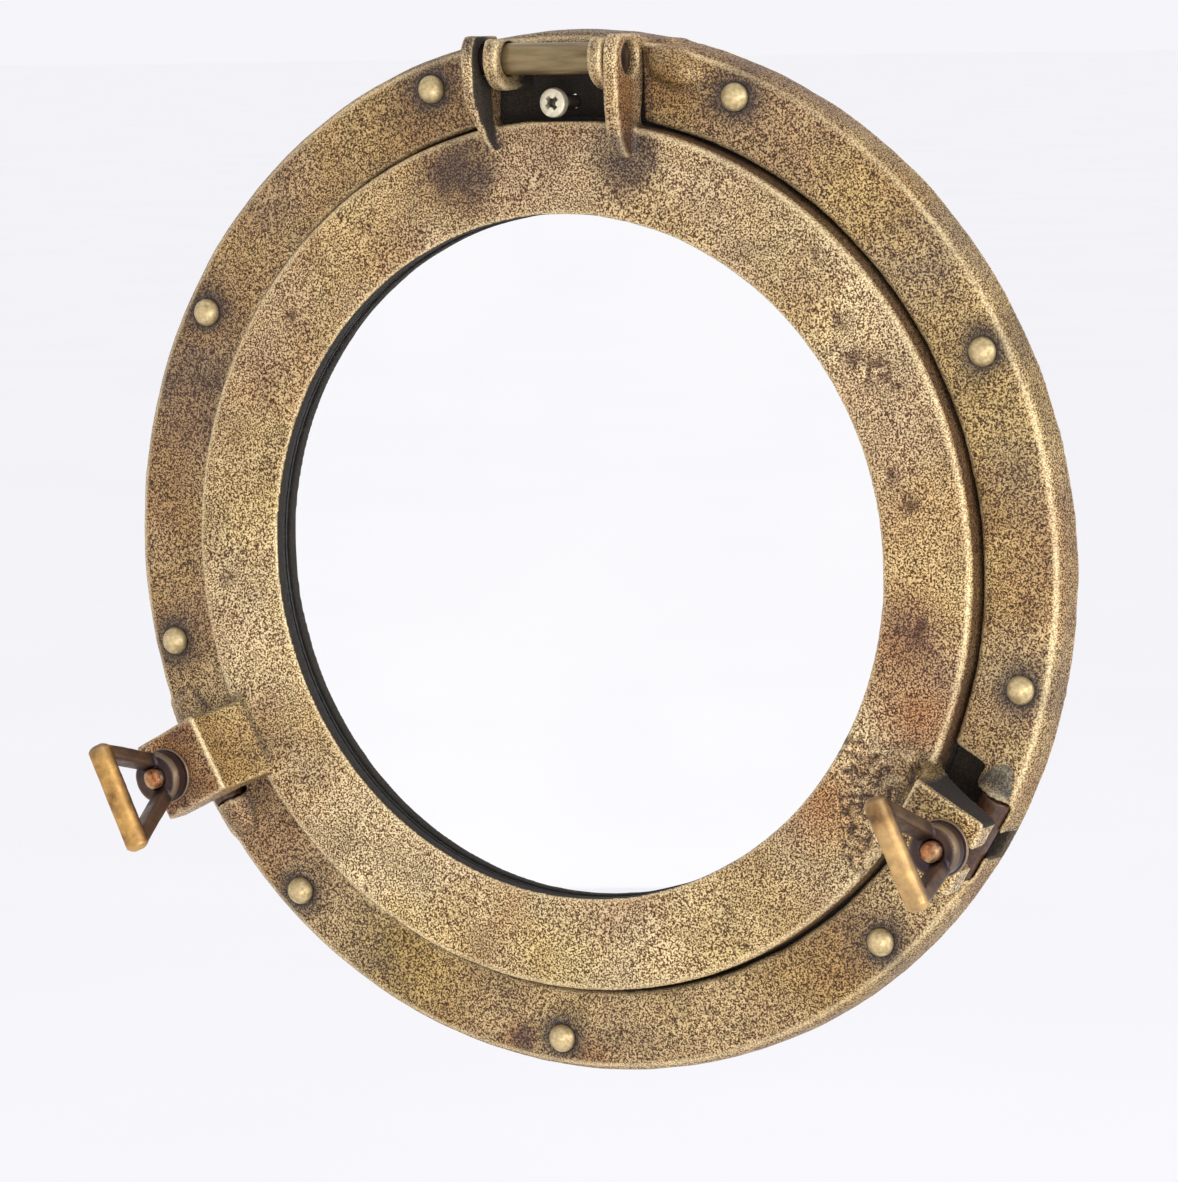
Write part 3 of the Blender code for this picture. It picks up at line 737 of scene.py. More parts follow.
def flange_profile():
    """The flange's section: a rim, a web over the hollow back, and the ledge under the door."""
    inner = DOOR_RADIUS + 1 * MM
    top = FLANGE_HEIGHT - WEB
    hollow_out, hollow_in = FLANGE_RADIUS - 4.2 * MM, inner + WEB
    return filleted([
        (FLANGE_RADIUS - 2.5 * MM, FLANGE_HEIGHT, 1.1 * MM),
        (FLANGE_RADIUS - 0.7 * MM, FLANGE_HEIGHT - 2.4 * MM, 1.6 * MM), (FLANGE_RADIUS, 0, GAP),
        (hollow_out, 0, GAP), (hollow_out - 0.8 * MM, top, 1.5 * MM),
        (hollow_in + 0.8 * MM, top, 1.5 * MM), (hollow_in, 0, GAP), (FLANGE_BORE, 0, 0.4 * MM),
        (FLANGE_BORE, LEDGE_HEIGHT, 0.8 * MM), (inner, LEDGE_HEIGHT, 0.5 * MM),
        (inner, FLANGE_HEIGHT, 0.9 * MM)])


def flange_bosses():
    """Solid metal in the hollow back, under the hinge pocket and round the dogs' pockets."""
    inner, outer, low, high = 129 * MM, 149.5 * MM, 0.2 * MM, 9.2 * MM
    bosses = [block((-33 * MM, inner, low), (33 * MM, outer, high))]
    for angle in DOG_ANGLES.values():
        bosses.append(block((-24 * MM, inner, low), (24 * MM, outer, high), polar(angle)))
        for step in range(-4, 5):
            bosses.append(block(mm(-3, 147.5, 8), mm(3, 151.7, 11.9), polar(angle + 1.9 * step)))
    return [loose(boss) for boss in bosses]


def pocket_cutters():
    """Cutters for the hinge pocket, the cavity above the right dog and the lugs' eyes."""
    cutters = [block((POCKET_LEFT, 120 * MM, LEDGE_HEIGHT), (POCKET_RIGHT, 146.4 * MM, CLEAR)),
               block((-19 * MM, 126 * MM, LEDGE_HEIGHT), (-4 * MM, 137.8 * MM, CLEAR),
                     polar(DOG_ANGLES["right"]))]
    for low, high in LUG_SPANS.values():
        cutters.append(rod(EYE_RADIUS + 0.7 * MM, low + HINGE_X - GAP, high + HINGE_X + GAP,
                           PIN_LINE, along_x=True))
    return cutters


def dog_cutters():
    """Cutters for each dog's trough, and for the notch that its stud swings out through."""
    half = BARREL_HALF + GAP
    trough = [(137.5 * MM, CLEAR), (137.5 * MM, WEB), (146 * MM, WEB)]
    trough += arc((DOG_RADIUS, PIVOT_HEIGHT), BARREL_RADIUS + GAP, -50, 35, 8)
    trough.append((149.3 * MM, CLEAR))
    cutters = []
    for angle in DOG_ANGLES.values():
        cutters.append(prism(trough, -half, half, polar(angle) @ STANDING))
        cutters.append(block((-4.2 * MM, DOG_RADIUS, WEB), (4.2 * MM, 160 * MM, CLEAR), polar(angle)))
    return cutters


def flange_ring():
    """The flange's ring, hollow behind, with its pockets and holes cut in."""
    ring = joined([loose(spin(flange_profile(), 360))] + flange_bosses())
    casting(ring, 1.0 * MM, 2)
    screw_hole = rod(2.2 * MM, -2 * MM, 9 * MM, over("wall_screw"))
    rivet_holes = [rod(2.1 * MM, 5 * MM, 15 * MM, over(name)) for name in RIVETS]
    return cut(ring, *pocket_cutters(), *dog_cutters(), screw_hole, *rivet_holes)


def flange_mound():
    """The lump of metal beside the hinge pocket, left by the mould."""
    mound = spin(arc((0, 0), 1, 90, 0, 10) + [(0.0, 0.0)], 40, solid=True)
    mound.transform(Matrix.Diagonal((10 * MM, 5.5 * MM, 4.4 * MM, 1)))
    mound.transform(Matrix.Translation((34.5 * MM, 141.5 * MM, FLANGE_HEIGHT - 1 * MM))
                    @ turned(-22, "Z"))
    return loose(mound)


def rivet_grime_and_shade(places, normals):
    """A black line of painted shade round each rivet's foot, in a soft halo of grime."""
    layers = [round_rivets(places, 12, 0.62) * mottled(places, 6, 31, 0.85, 0.6, 0.35, 1.1)]
    for name in RIVETS:
        x, y = centre_of(name)
        away = np.hypot(places[:, 0] - x, places[:, 1] - y) - RIVET_RADIUS
        line = np.clip(1 - np.clip(away - 0.3 * MM, 0, 1) / (1.1 * MM), 0, 1) * (normals[:, 2] > 0.5)
        # Painted shade where the dome meets the flange.
        layers.append(0.95 * line * (away < 1.6 * MM))
    return strongest(*layers)


def flange_grime_and_shade(places, normals, sharpness):
    """Painted shade in the hinge pocket, under the ears, in the cavity above the right dog, in the dogs'
    troughs and notches and in the groove round the door, with dark inner corners and the marks round each
    rivet.
    """
    radius, height = from_axis(places), places[:, 2]
    low_face = (height > LEDGE_HEIGHT - MM) & (height < FLANGE_HEIGHT - 0.8 * MM)
    groove = low_face & (radius < DOOR_RADIUS + 2 * MM)
    pocket = within(places, (POCKET_LEFT - MM, 118 * MM, 3 * MM),
                    (POCKET_RIGHT + MM, 147.2 * MM, FLANGE_HEIGHT - 0.8 * MM))
    stems = within(places, (HINGE_X - EAR_OUTER - MM, 118 * MM, 3 * MM),
                   (HINGE_X + EAR_OUTER + MM, 138.5 * MM, 13.5 * MM))
    cavity = within(places, mm(-20, 126, 3), (-3 * MM, 138.8 * MM, FLANGE_HEIGHT - 0.9 * MM),
                    polar(DOG_ANGLES["right"]))
    # Painted shade in the hinge pocket, under the ears, in the right dog's cavity and in the groove.
    layers = [darkened_corners(sharpness), 0.97 * strongest(pocket, stems, cavity), 0.8 * groove]
    half = BARREL_HALF + 1.2 * MM
    for angle in DOG_ANGLES.values():
        trough = within(places, (-half, 136.5 * MM, 2 * MM), (half, 150.8 * MM, FLANGE_HEIGHT - 1 * MM),
                        polar(angle))
        notch = within(places, mm(-5.2, 144, 2), (5.2 * MM, 154 * MM, FLANGE_HEIGHT - 1.5 * MM),
                       polar(angle))
        # Painted shade in each dog's trough and notch.
        layers += [0.97 * trough, 0.9 * notch]
    return strongest(*layers, rivet_grime_and_shade(places, normals))


def paint_flange(obj, places, normals, sharpness):
    """The flange's wear, grime and painted shade, stains and painted shadows, rust, olive tinge and slate.
    """
    radius = from_axis(places)
    corner = np.hypot(radius - FLANGE_RADIUS + 2.3 * MM, places[:, 2] - FLANGE_HEIGHT + 0.4 * MM)
    rim_line = along_line(corner, 1.1 * MM) * mottled(places, 14, 8, 0.85, 0.4, 0.3, 1)
    # A painted shadow on the hinge pocket's edge beside the right lug, which takes no wear.
    lug_edge_shadow = within(places, mm(23, 120, 5), mm(27.5, 147.5, 14))
    paint(obj, "wear_and_highlight", strongest(worn(sharpness, places, 5) * 0.8 * (1 - lug_edge_shadow), 0.85 * rim_line))
    paint(obj, "grime_and_shade", flange_grime_and_shade(places, normals, sharpness))
    stains = strongest(round_rivets(places, 18, 0.8), patches(places, FLANGE_STAINS))
    stains = stains * mottled(places, 7, 12, 0.8, 0.8, 0.1, 1.2)
    halos = round_rivets(places, 13, 1.5) * mottled(places, 6, 31, 0.9, 0.5, 0.45, 1.1)
    lug_shadow = (np.abs(places[:, 0] - HINGE_X) < 21 * MM) & (radius > 147 * MM) & (places[:, 1] > 0)
    paint(obj, "stain_and_shadow", strongest(stains, halos, 0.6 * lug_shadow, 0.8 * lug_edge_shadow))
    paint(obj, "rust", patches(places, FLANGE_RUST))
    paint(obj, "olive", patches(places, FLANGE_OLIVE))
    knuckle = within(places, (-KNUCKLE_END - MM, -8 * MM, 2.2 * MM), (-BARREL_HALF, 3.5 * MM, 9 * MM),
                     polar(DOG_ANGLES["right"], DOG_RADIUS, PIVOT_HEIGHT))
    paint(obj, "slate", knuckle * mottled(places, 3, 15, 0.9, 0.6, 0.2, 1))


def make_flange():
    """The wall flange."""
    shells = joined([flange_ring(), flange_mound()] + hinge_ears() + dog_knuckles())
    casting(shells, 0.85 * MM, 3)
    places, normals, sharpness, bulge = weather(shells, 0.12 * MM, 1)
    moved(shells, places, normals, bulge)
    paint_flange(shells, places, normals, sharpness)
    lightened(shells)
    finish_piece(shells, "flange_casting", "flange", FLANGE_BRASS, "cast_brass", "mounting_flange")


def door_lug(side):
    """A horn-shaped lug with its bore: a nose that curves up from the ring, and an eye."""
    low, high = LUG_SPANS[side]
    middle = (low + high) / 2
    power = LUG_NOSE_POWERS[side]
    outline = [mm(115, 16)]
    outline += [(115.5 * MM + 22.5 * MM * t, 16.5 * MM + 10.4 * MM * math.sin(math.pi / 2 * t) ** power)
                for t in ((i / 16) ** 1.5 for i in range(17))]
    outline += hinge_eye(92, -100, LUG_LIMIT)
    outline += [mm(134, 10.2), mm(128, 12), mm(124.3, 12), mm(123.8, 16)]
    lug = prism(outline, low, high)
    for vertex in lug.verts:
        along = min(max((138 * MM - vertex.co.x) / (21 * MM), 0), 1)
        vertex.co.z = middle + (vertex.co.z - middle) * (1 - LUG_TIP_THINNING[side] * along)
        vertex.co.z += LUG_TIP_LEANS[side] * along ** 1.4 + HINGE_X
    lug.transform(STANDING)
    return cut(loose(lug), pin_bore())


def fork_slot(side):
    """The cutter for the open slot that a stud swings into."""
    slot = arc((0, 0), SLOT_HALF, 180, 360, 24) + [(SLOT_HALF, 20 * MM), (-SLOT_HALF, 20 * MM)]
    return prism(slot, 4 * MM, SEAT + 4 * MM, dog_place(side))


def door_fork(side):
    """A hooked block with its slot, that a dog clamps."""
    outline = filleted([
        mm(-24, 4.2, 0), mm(-22.6, 7.4, 2), mm(-19.6, 11.5, 2),
        mm(-17.4, 17, 2), (-16.2 * MM, SEAT, 0.7 * MM), (2.5 * MM, SEAT, 0.5 * MM),
        (FORK_END, SEAT - 1.1 * MM, 0.9 * MM), (FORK_END, 14.5 * MM, 1 * MM),
        mm(-6, 10.5, 2), mm(-14, 7, 2), mm(-19.2, 2, 1),
        mm(-20.4, -1.5, 0)])
    fork = loose(prism(outline, -FORK_HALF, FORK_HALF, dog_place(side) @ STANDING))
    return cut(fork, fork_slot(side))


def door_profile():
    """The door's section: a rim, a web, and the lip that the mirror lies behind."""
    rim_back, lip_back = GLASS_BACK - BOARD_SPACE, GLASS_FRONT + GASKET_SPACE
    rebate = GLASS_RADIUS + 0.6 * MM
    top = DOOR_FACE - WEB
    return filleted([
        (DOOR_RADIUS, DOOR_FACE, 1.6 * MM), (DOOR_RADIUS, DOOR_BACK, 0.4 * MM),
        (DOOR_RADIUS - WEB, DOOR_BACK, 0.4 * MM), (DOOR_RADIUS - WEB - 0.4 * MM, top, 1.2 * MM),
        (112.6 * MM, top, 1.2 * MM), (112.2 * MM, rim_back, 0.4 * MM), (rebate, rim_back, 0.3 * MM),
        (rebate, lip_back, 0.1 * MM), (OPENING_RADIUS, lip_back, 0.3 * MM),
        (OPENING_RADIUS, DOOR_FACE, 0.6 * MM)])


def door_shells():
    """The door ring, cut for the ears, the clip screws and the studs, with its lugs and forks."""
    ring = loose(spin(door_profile(), 360))
    flat = block(mm(-16, 126.2, 0), (16 * MM, 130 * MM, CLEAR))
    holes = [rod(1.8 * MM, 0, 14.2 * MM, over(f"clip_screw_{number}"), segments=24)
             for number in range(1, 5)]
    cut(ring, flat, *holes, *(fork_slot(side) for side in SIDES))
    return joined([ring] + [door_lug(side) for side in SIDES] + [door_fork(side) for side in SIDES])


def door_side(places, normals):
    """True on the door's outer side wall."""
    radius = from_axis(places)
    at_rim = (radius > DOOR_RADIUS - MM) & (radius < DOOR_RADIUS + 0.5 * MM)
    return at_rim & (places[:, 2] < DOOR_FACE - 1.6 * MM) & (normals[:, 2] < 0.5)


def fork_seat(places, side):
    """1 on a fork's seat, the flat face under the washer."""
    return within(places, (-13 * MM, -15.4 * MM, SEAT - MM), (13 * MM, 9 * MM, SEAT + MM), dog_place(side))


def door_wear(places, sharpness):
    """Bright metal along the door's two edges, and bright wear with a painted highlight along the forks'
    ridges.
    """
    radius, height = from_axis(places), places[:, 2] - DOOR_FACE
    outer = along_line(np.hypot(radius - DOOR_RADIUS + 0.9 * MM, height + 0.5 * MM), 1.2 * MM)
    inner = along_line(np.hypot(radius - OPENING_RADIUS - 0.2 * MM, height + 0.2 * MM), 0.9 * MM)
    rims = strongest(0.8 * outer, 0.75 * inner) * mottled(places, 12, 7, 0.8, 0.4, 0.25, 1)
    layers = [worn(sharpness, places, 10) * 0.75, rims]
    for side in SIDES:
        local = in_frame(places, dog_place(side))
        # Bright wear and a painted highlight along each fork's ridge.
        ridge = along_line(np.hypot(local[:, 1] + 15.9 * MM, local[:, 2] - SEAT + 0.3 * MM), 0.95 * MM)
        layers.append(ridge * (np.abs(local[:, 0]) < 12.5 * MM))
    return strongest(*layers)


def lug_cheek_shade(places, normals):
    """Painted shade on the lugs' right-hand cheeks."""
    layers = []
    for side, strength in CHEEK_SHADE.items():
        low, high = LUG_SPANS[side]
        cheek = within(places, (low + HINGE_X - MM, 112 * MM, 17 * MM),
                       (high + HINGE_X + 6 * MM, 152 * MM, CLEAR))
        # Painted shade on the cheek that faces right.
        layers.append(strength * cheek * (normals[:, 0] > 0.55))
    return strongest(*layers)


def fork_end_shade(places):
    """Painted shade on the right fork's upper end, thinner towards the ring, and on the left one's lower
    end.
    """
    right, left = dog_place("right"), dog_place("left")
    upper = within(places, mm(-14, -25, 4), (-11.2 * MM, 9 * MM, SEAT - 1.2 * MM), right)
    faded = np.clip((in_frame(places, right)[:, 1] + 21 * MM) / (7 * MM), 0.5, 1)
    patchy = np.where(faded < 1, faded * mottled(places, 4, 17, 0.85, 0.5, 0.4, 1), 1)
    # Painted shade under the left fork's lower end.
    lower = within(places, mm(11, -25, 2), (14 * MM, 9 * MM, SEAT - 0.8 * MM), left)
    return strongest(upper * patchy, 0.5 * lower)


def door_grime_and_shade(places, normals, sharpness, on_face):
    """Dark colour in inner corners, on the lip and behind it; painted shade on the side wall, the lugs'
    cheeks and the forks' ends, and painted shadows at the lugs' feet.
    """
    radius, height = from_axis(places), places[:, 2]
    lip = (radius < OPENING_RADIUS + 0.6 * MM) & (height < DOOR_FACE - 0.5 * MM)
    behind_lip = (radius < GLASS_RADIUS + MM) & (height < DOOR_FACE - 2 * MM)
    # Painted shadows at the hinge lugs' feet.
    foot_shadows = patches(places, LUG_FOOT_SHADOWS) * on_face * mottled(places, 5, 12, 0.8, 0.7, 0.15, 1.2)
    # The side wall takes painted shade in the gap round the door.
    return strongest(darkened_corners(sharpness), lip, behind_lip, 0.65 * door_side(places, normals), foot_shadows,
                     lug_cheek_shade(places, normals), fork_end_shade(places))


def door_stain(places):
    """Dark stains on the face, painted shadows at the lugs' feet, and patches on the left fork's seat."""
    stains = patches(places, DOOR_STAINS_AND_SHADOWS) * mottled(places, 5, 12, 0.8, 0.7, 0.15, 1.2)
    return strongest(stains, fork_seat(places, "left") * mottled(places, 5, 21, 0.2, 0.9, 0, 0.7))


def door_rust(places, normals, flaw):
    """Rusty brown on the face, the flaws, the seats, the side wall and the right lug's cheek."""
    cheek_low = LUG_SPANS["right"][1] + HINGE_X - 1.2 * MM
    cheek = within(places, (cheek_low, 112 * MM, 17.5 * MM), (cheek_low + 3 * MM, 152 * MM, CLEAR))
    seats = strongest(*(strength * fork_seat(places, side) for side, strength in SEAT_RUST.items()))
    seats = seats * mottled(places, 7, 23, 0.75, 0.6, 0.2, 1)
    return strongest(seats, 0.6 * cheek * (normals[:, 0] > 0.7), patches(places, DOOR_RUST), 0.45 * flaw,
                     0.7 * door_side(places, normals))


def door_olive(places):
    """An olive tinge on the face, the forks' slopes and the right fork's seat."""
    slopes = [within(places, mm(-13, -25, 6), (13 * MM, -15 * MM, SEAT + MM), dog_place(side))
              for side in SIDES]
    return strongest(0.8 * strongest(*slopes, fork_seat(places, "right")), patches(places, DOOR_OLIVE))


def make_door():
    """The door ring with its hinge lugs and forks, and with cracked flaws and pits in its face."""
    shells = casting(door_shells(), 0.75 * MM, 3)
    places, normals, sharpness, bulge = weather(shells, 0.10 * MM, 6)
    on_face = (normals[:, 2] > 0.4) & (places[:, 2] > DOOR_FACE - 2 * MM)
    flaw = patches(places, FLAWS) * on_face
    ragged = np.abs(noise_at(places, 3 * MM, 8)) + 0.5 * np.abs(noise_at(places, 1.6 * MM, 9))
    crack = rising(-ragged, -0.4, 0.12) * np.clip(flaw * 3, 0, 1)
    ridge = rising(ragged, 0.75, 0.3) * flaw
    pits = patches(places, PITS) * on_face * mottled(places, 2, 5, 0.75, 2.2, 0, 1.2)
    moved(shells, places, normals, bulge + flaw * (ragged - 0.5) * 3.4 * MM - pits * 0.6 * MM)
    paint(shells, "wear_and_highlight", strongest(door_wear(places, sharpness), 0.35 * ridge))
    paint(shells, "pit", strongest(0.95 * pits, crack))
    paint(shells, "grime_and_shade", strongest(door_grime_and_shade(places, normals, sharpness, on_face), 0.35 * crack))
    paint(shells, "stain_and_shadow", door_stain(places))
    paint(shells, "rust", door_rust(places, normals, flaw))
    paint(shells, "olive", door_olive(places))
    lightened(shells)
    finish_piece(shells, "door_casting", "door", DOOR_BRASS, "cast_brass", "door_ring")


# ---- small parts

def make_rivet(name, seed):
    """A dome rivet, a little uneven, with painted shade at its foot."""
    low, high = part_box(name)
    base, top = -high.y, -low.y
    foot = FLANGE_HEIGHT + GAP
    rise, under, shank = top - foot, foot - 0.1 * MM, 1.7 * MM
    dome = [(RIVET_RADIUS * math.sin(a), foot + rise * math.cos(a))
            for a in (math.pi / 2 * i / 14 for i in range(1, 15))]
    profile = [(0.0, top)] + dome
    profile += [(RIVET_RADIUS - 0.3 * MM, under), (shank, under), (shank, base), (0.0, base)]
    rivet = loose(spin(profile, 48, solid=True))
    places, normals, _ = vertex_data(rivet)
    places = places + np.array((*centre_of(name), 0))
    places = moved(rivet, places, normals, 0.10 * MM * noise_at(places, 3 * MM, seed))
    above = places[:, 2] - foot
    # Painted shade at the dome's foot, where it meets the flange.
    paint(rivet, "grime_and_shade", np.clip(1 - above / (1.1 * MM), 0, 1) * 0.8)
    paint(rivet, "wear_and_highlight", rising(above, rise * 0.75, rise * 0.3) * 0.45)
    finish_piece(rivet, f"dome_{name}", "flange", RIVET_BRASS, "worn_brass", name)


def make_hinge_pin():
    """The pin, with chamfered ends and a little wear."""
    low, high, chamfer = PIN_LOW.x, PIN_HIGH.x, 0.6 * MM
    end_radius = PIN_RADIUS - 0.8 * MM
    profile = [(0, high), (end_radius, high), (PIN_RADIUS, high - chamfer)]
    profile += [(PIN_RADIUS, high - chamfer - (high - low - 2 * chamfer) * i / 40) for i in range(1, 41)]
    profile += [(end_radius, low), (0, low)]
    pin = loose(spin(profile, 64, solid=True))
    pin.data.transform(Matrix.Translation((0, PIN_Y, PIN_HEIGHT)) @ ALONG_X)
    across = np.abs(vertex_data(pin)[0][:, 0] - HINGE_X)
    paint(pin, "grime_and_shade", np.clip(1 - np.abs(across - EAR_INNER) / (1.6 * MM), 0, 1) * 0.7)
    paint(pin, "stain_and_shadow", rising(across, EAR_OUTER, MM) * 0.95)
    finish_piece(pin, "turned_hinge_pin", "flange", PIN_BRASS, "worn_brass", "hinge_pin")


def screw_profile(top, radius):
    """A pan head on a coarse thread that goes back to the wall."""
    shank, pitch = 1.9 * MM, 1.4 * MM
    root = shank - 0.5 * MM
    head_base = top - SCREW_HEAD
    profile = [(0.0, top)]
    profile += [(radius * 0.93 * t, top - 0.55 * MM * t ** 3) for t in (0.25, 0.5, 0.7, 0.85, 1)]
    profile += [(radius, top - 1.1 * MM), (radius, head_base + GAP), (radius - GAP, head_base)]
    profile += [(shank + 0.1 * MM, head_base), (shank, head_base - 0.2 * MM)]
    for i in range(int((head_base - GAP) / pitch)):
        crest = head_base - 1 * MM - i * pitch
        if crest - pitch > GAP:
            profile += [(root, crest), (shank, crest - 0.6 * MM), (root, crest - 1.2 * MM)]
    return profile + [(root, GAP), (0.0, GAP)]


def cross_recess(top):
    """Cutters for the two tapered slots of a cross recess and the well where they meet."""
    half = 0.7 * MM
    slot = [(-3 * MM, top + MM), (3 * MM, top + MM), (1 * MM, top - 2 * MM), (-1 * MM, top - 2 * MM)]
    upright = turned(90, "X")
    cutters = [prism(slot, -half, half, turned(turn, "Z") @ upright)
               for turn in (38, 128)]
    return cutters + [prism(arc((0, 0), 1.4 * MM, 0, 315, 7), top - 1.6 * MM, top + MM)]


def make_wall_screw():
    """The pan-head screw with its cross recess, with painted shade in the recess and down the shank."""
    low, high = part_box("wall_screw")
    top = -low.y
    head_base = top - SCREW_HEAD
    screw = loose(spin(screw_profile(top, (high.x - low.x) / 2), 64, solid=True))
    cut(screw, *cross_recess(top))
    places = vertex_data(screw)[0]
    height = places[:, 2]
    # Painted shade in the cross recess, and on the shank from 3 mm under the head down into the pocket.
    recess = (from_axis(places) < 2.6 * MM) & (height < top - 0.7 * MM) & (height > head_base)
    in_pocket = np.clip((head_base - 3 * MM - height) / (3 * MM), 0, 0.95)
    paint(screw, "grime_and_shade", strongest(recess * 0.95, in_pocket))
    screw.data.transform(over("wall_screw"))
    finish_piece(screw, "cross_head_screw", "flange", ZINC, "zinc", "wall_screw")
    screw.data.set_sharp_from_angle(angle=math.radians(35))


def make_mirror():
    """The mirror, with a ground edge."""
    edge = 0.5 * MM
    profile = [(0.0, GLASS_FRONT), (GLASS_RADIUS * 0.5, GLASS_FRONT), (GLASS_RADIUS - edge, GLASS_FRONT),
               (GLASS_RADIUS, GLASS_FRONT - edge), (GLASS_RADIUS, GLASS_BACK + edge),
               (GLASS_RADIUS - edge, GLASS_BACK), (0.0, GLASS_BACK)]
    glass = loose(spin(profile, 192, solid=True))
    finish_piece(glass, "round_mirror", "door", MIRROR, "mirror", "mirror_glass")
    glass.data.set_sharp_from_angle(angle=math.radians(20))


def threaded_stud():
    """A bolt's stud, with a fine thread and a worn domed end."""
    end = [(0.0, STUD_TOP), (STUD_RADIUS * 0.7, STUD_TOP - 0.2 * MM),
           (STUD_RADIUS - 0.1 * MM, STUD_TOP - 0.9 * MM)]
    flank = [(STUD_RADIUS, STUD_TOP - MM - (STUD_TOP - 4.6 * MM) * i / 200) for i in range(1, 201)]
    stud = spin(end + flank + [(0.0, 3.4 * MM)], 40, solid=True)
    for vertex in stud.verts:
        if 8 * MM < vertex.co.z < STUD_TOP - 0.95 * MM:
            turn = math.atan2(vertex.co.y, vertex.co.x) / math.tau
            phase = (vertex.co.z / THREAD_PITCH - turn) % 1
            depth = 0.5 * MM * abs(2 * phase - 1)
            vertex.co.xy *= (STUD_RADIUS - depth) / STUD_RADIUS
    return loose(stud)


def make_bolt(side):
    """A swing bolt: the barrel that turns on the pivot pin, and the stud."""
    half, edge, bore_edge = BARREL_HALF, 0.6 * MM, 0.2 * MM
    barrel = spin(filleted([(BARREL_RADIUS, half, edge), (BARREL_RADIUS, -half, edge),
                            (BARREL_BORE, -half, bore_edge), (BARREL_BORE, half, bore_edge)]), 64)
    barrel.transform(ALONG_X)
    bolt = joined([loose(barrel), threaded_stud()])
    places, normals, _ = vertex_data(bolt)
    moved(bolt, places, normals, 0.16 * MM * noise_at(places, 1.3 * MM, 4))
    height = places[:, 2] - STUD_TOP
    rim = np.clip((from_axis(places) - 2.1 * MM) / MM, 0, 0.6)
    paint(bolt, "grime_and_shade", strongest(np.clip((-1.2 * MM - height) / (1.6 * MM), 0, 0.93), rim))
    paint(bolt, "wear_and_highlight", rising(height, -1.4 * MM, MM) * (normals[:, 1] > 0) * 0.5)
    bolt.data.transform(dog_place(side))
    finish_piece(bolt, f"swing_bolt_{side}", f"{side}_dog", BOLT_COPPER, "dark_bronze", f"dog_bolt_{side}")
    bolt.data.set_sharp_from_angle(angle=math.radians(40))


def make_washer(side):
    """A thick washer with a rubbed rim."""
    low, bore = SEAT + GAP, STUD_RADIUS + 0.35 * MM
    high = low + WASHER_THICKNESS
    profile = filleted([(WASHER_RADIUS, high, 0.35 * MM), (WASHER_RADIUS, low, 0.35 * MM),
                        (bore, low, 0.1 * MM), (bore, high, 0.1 * MM)])
    washer = loose(spin(profile, 96))
    rim = from_axis(vertex_data(washer)[0]) > WASHER_RADIUS - 0.3 * MM
    paint(washer, "wear_and_highlight", 0.35 * rim)
    paint(washer, "grime_and_shade", 0.3 * ~rim)
    washer.data.transform(dog_place(side))
    finish_piece(washer, f"thick_washer_{side}", f"{side}_washer", DARK_BRONZE, "dark_bronze",
                 f"dog_washer_{side}")


def rectangle(half_width, low, high, corner):
    """A rounded rectangle, centred across and from low to high."""
    return filleted([(-half_width, low, corner), (half_width, low, corner),
                     (half_width, high, corner), (-half_width, high, corner)])


def wing_nut_shells(base, hub_top, lean):
    """The hub, the finger bar with its ends drawn in, and the two arms between them."""
    hub = [(0.0, hub_top), (HUB_RADIUS - 1.2 * MM, hub_top), (HUB_RADIUS - 0.4 * MM, hub_top - 0.5 * MM),
           (HUB_RADIUS, hub_top - 1.6 * MM), (HUB_RADIUS, base + 0.3 * MM), (HUB_RADIUS - 0.3 * MM, base),
           (0.0, base)]
    shells = [loose(spin(hub, 64, solid=True))]
    low, high = BAR_HEIGHT - BAR_THICKNESS / 2, BAR_HEIGHT + BAR_THICKNESS / 2
    for inset, end in (mm(0, 1.2), mm(0.6, 0.5), mm(1.4, 0)):
        section = rectangle(BAR_DEPTH / 2 - inset, low + inset, high - inset, 1.9 * MM)
        shells.append(loose(prism(section, lean - BAR_HALF + end, lean + BAR_HALF - end, STANDING)))
    for sign in (-1, 1):
        foot = Vector((sign * (HUB_RADIUS - 3 * MM), 0, hub_top - 3 * MM))
        along = Vector((lean + sign * (BAR_HALF - 2.6 * MM), 0, BAR_HEIGHT)) - foot
        place = Matrix.Translation(foot) @ Matrix.Rotation(math.atan2(along.x, along.z), 4, "Y")
        arm = rectangle(2.2 * MM, -2.9 * MM, 2.9 * MM, 1.1 * MM)
        shells.append(loose(prism(arm, 0, along.length, place)))
    return [cut(shell, rod(STUD_RADIUS + 0.5 * MM, 0, hub_top + 6 * MM)) for shell in shells]


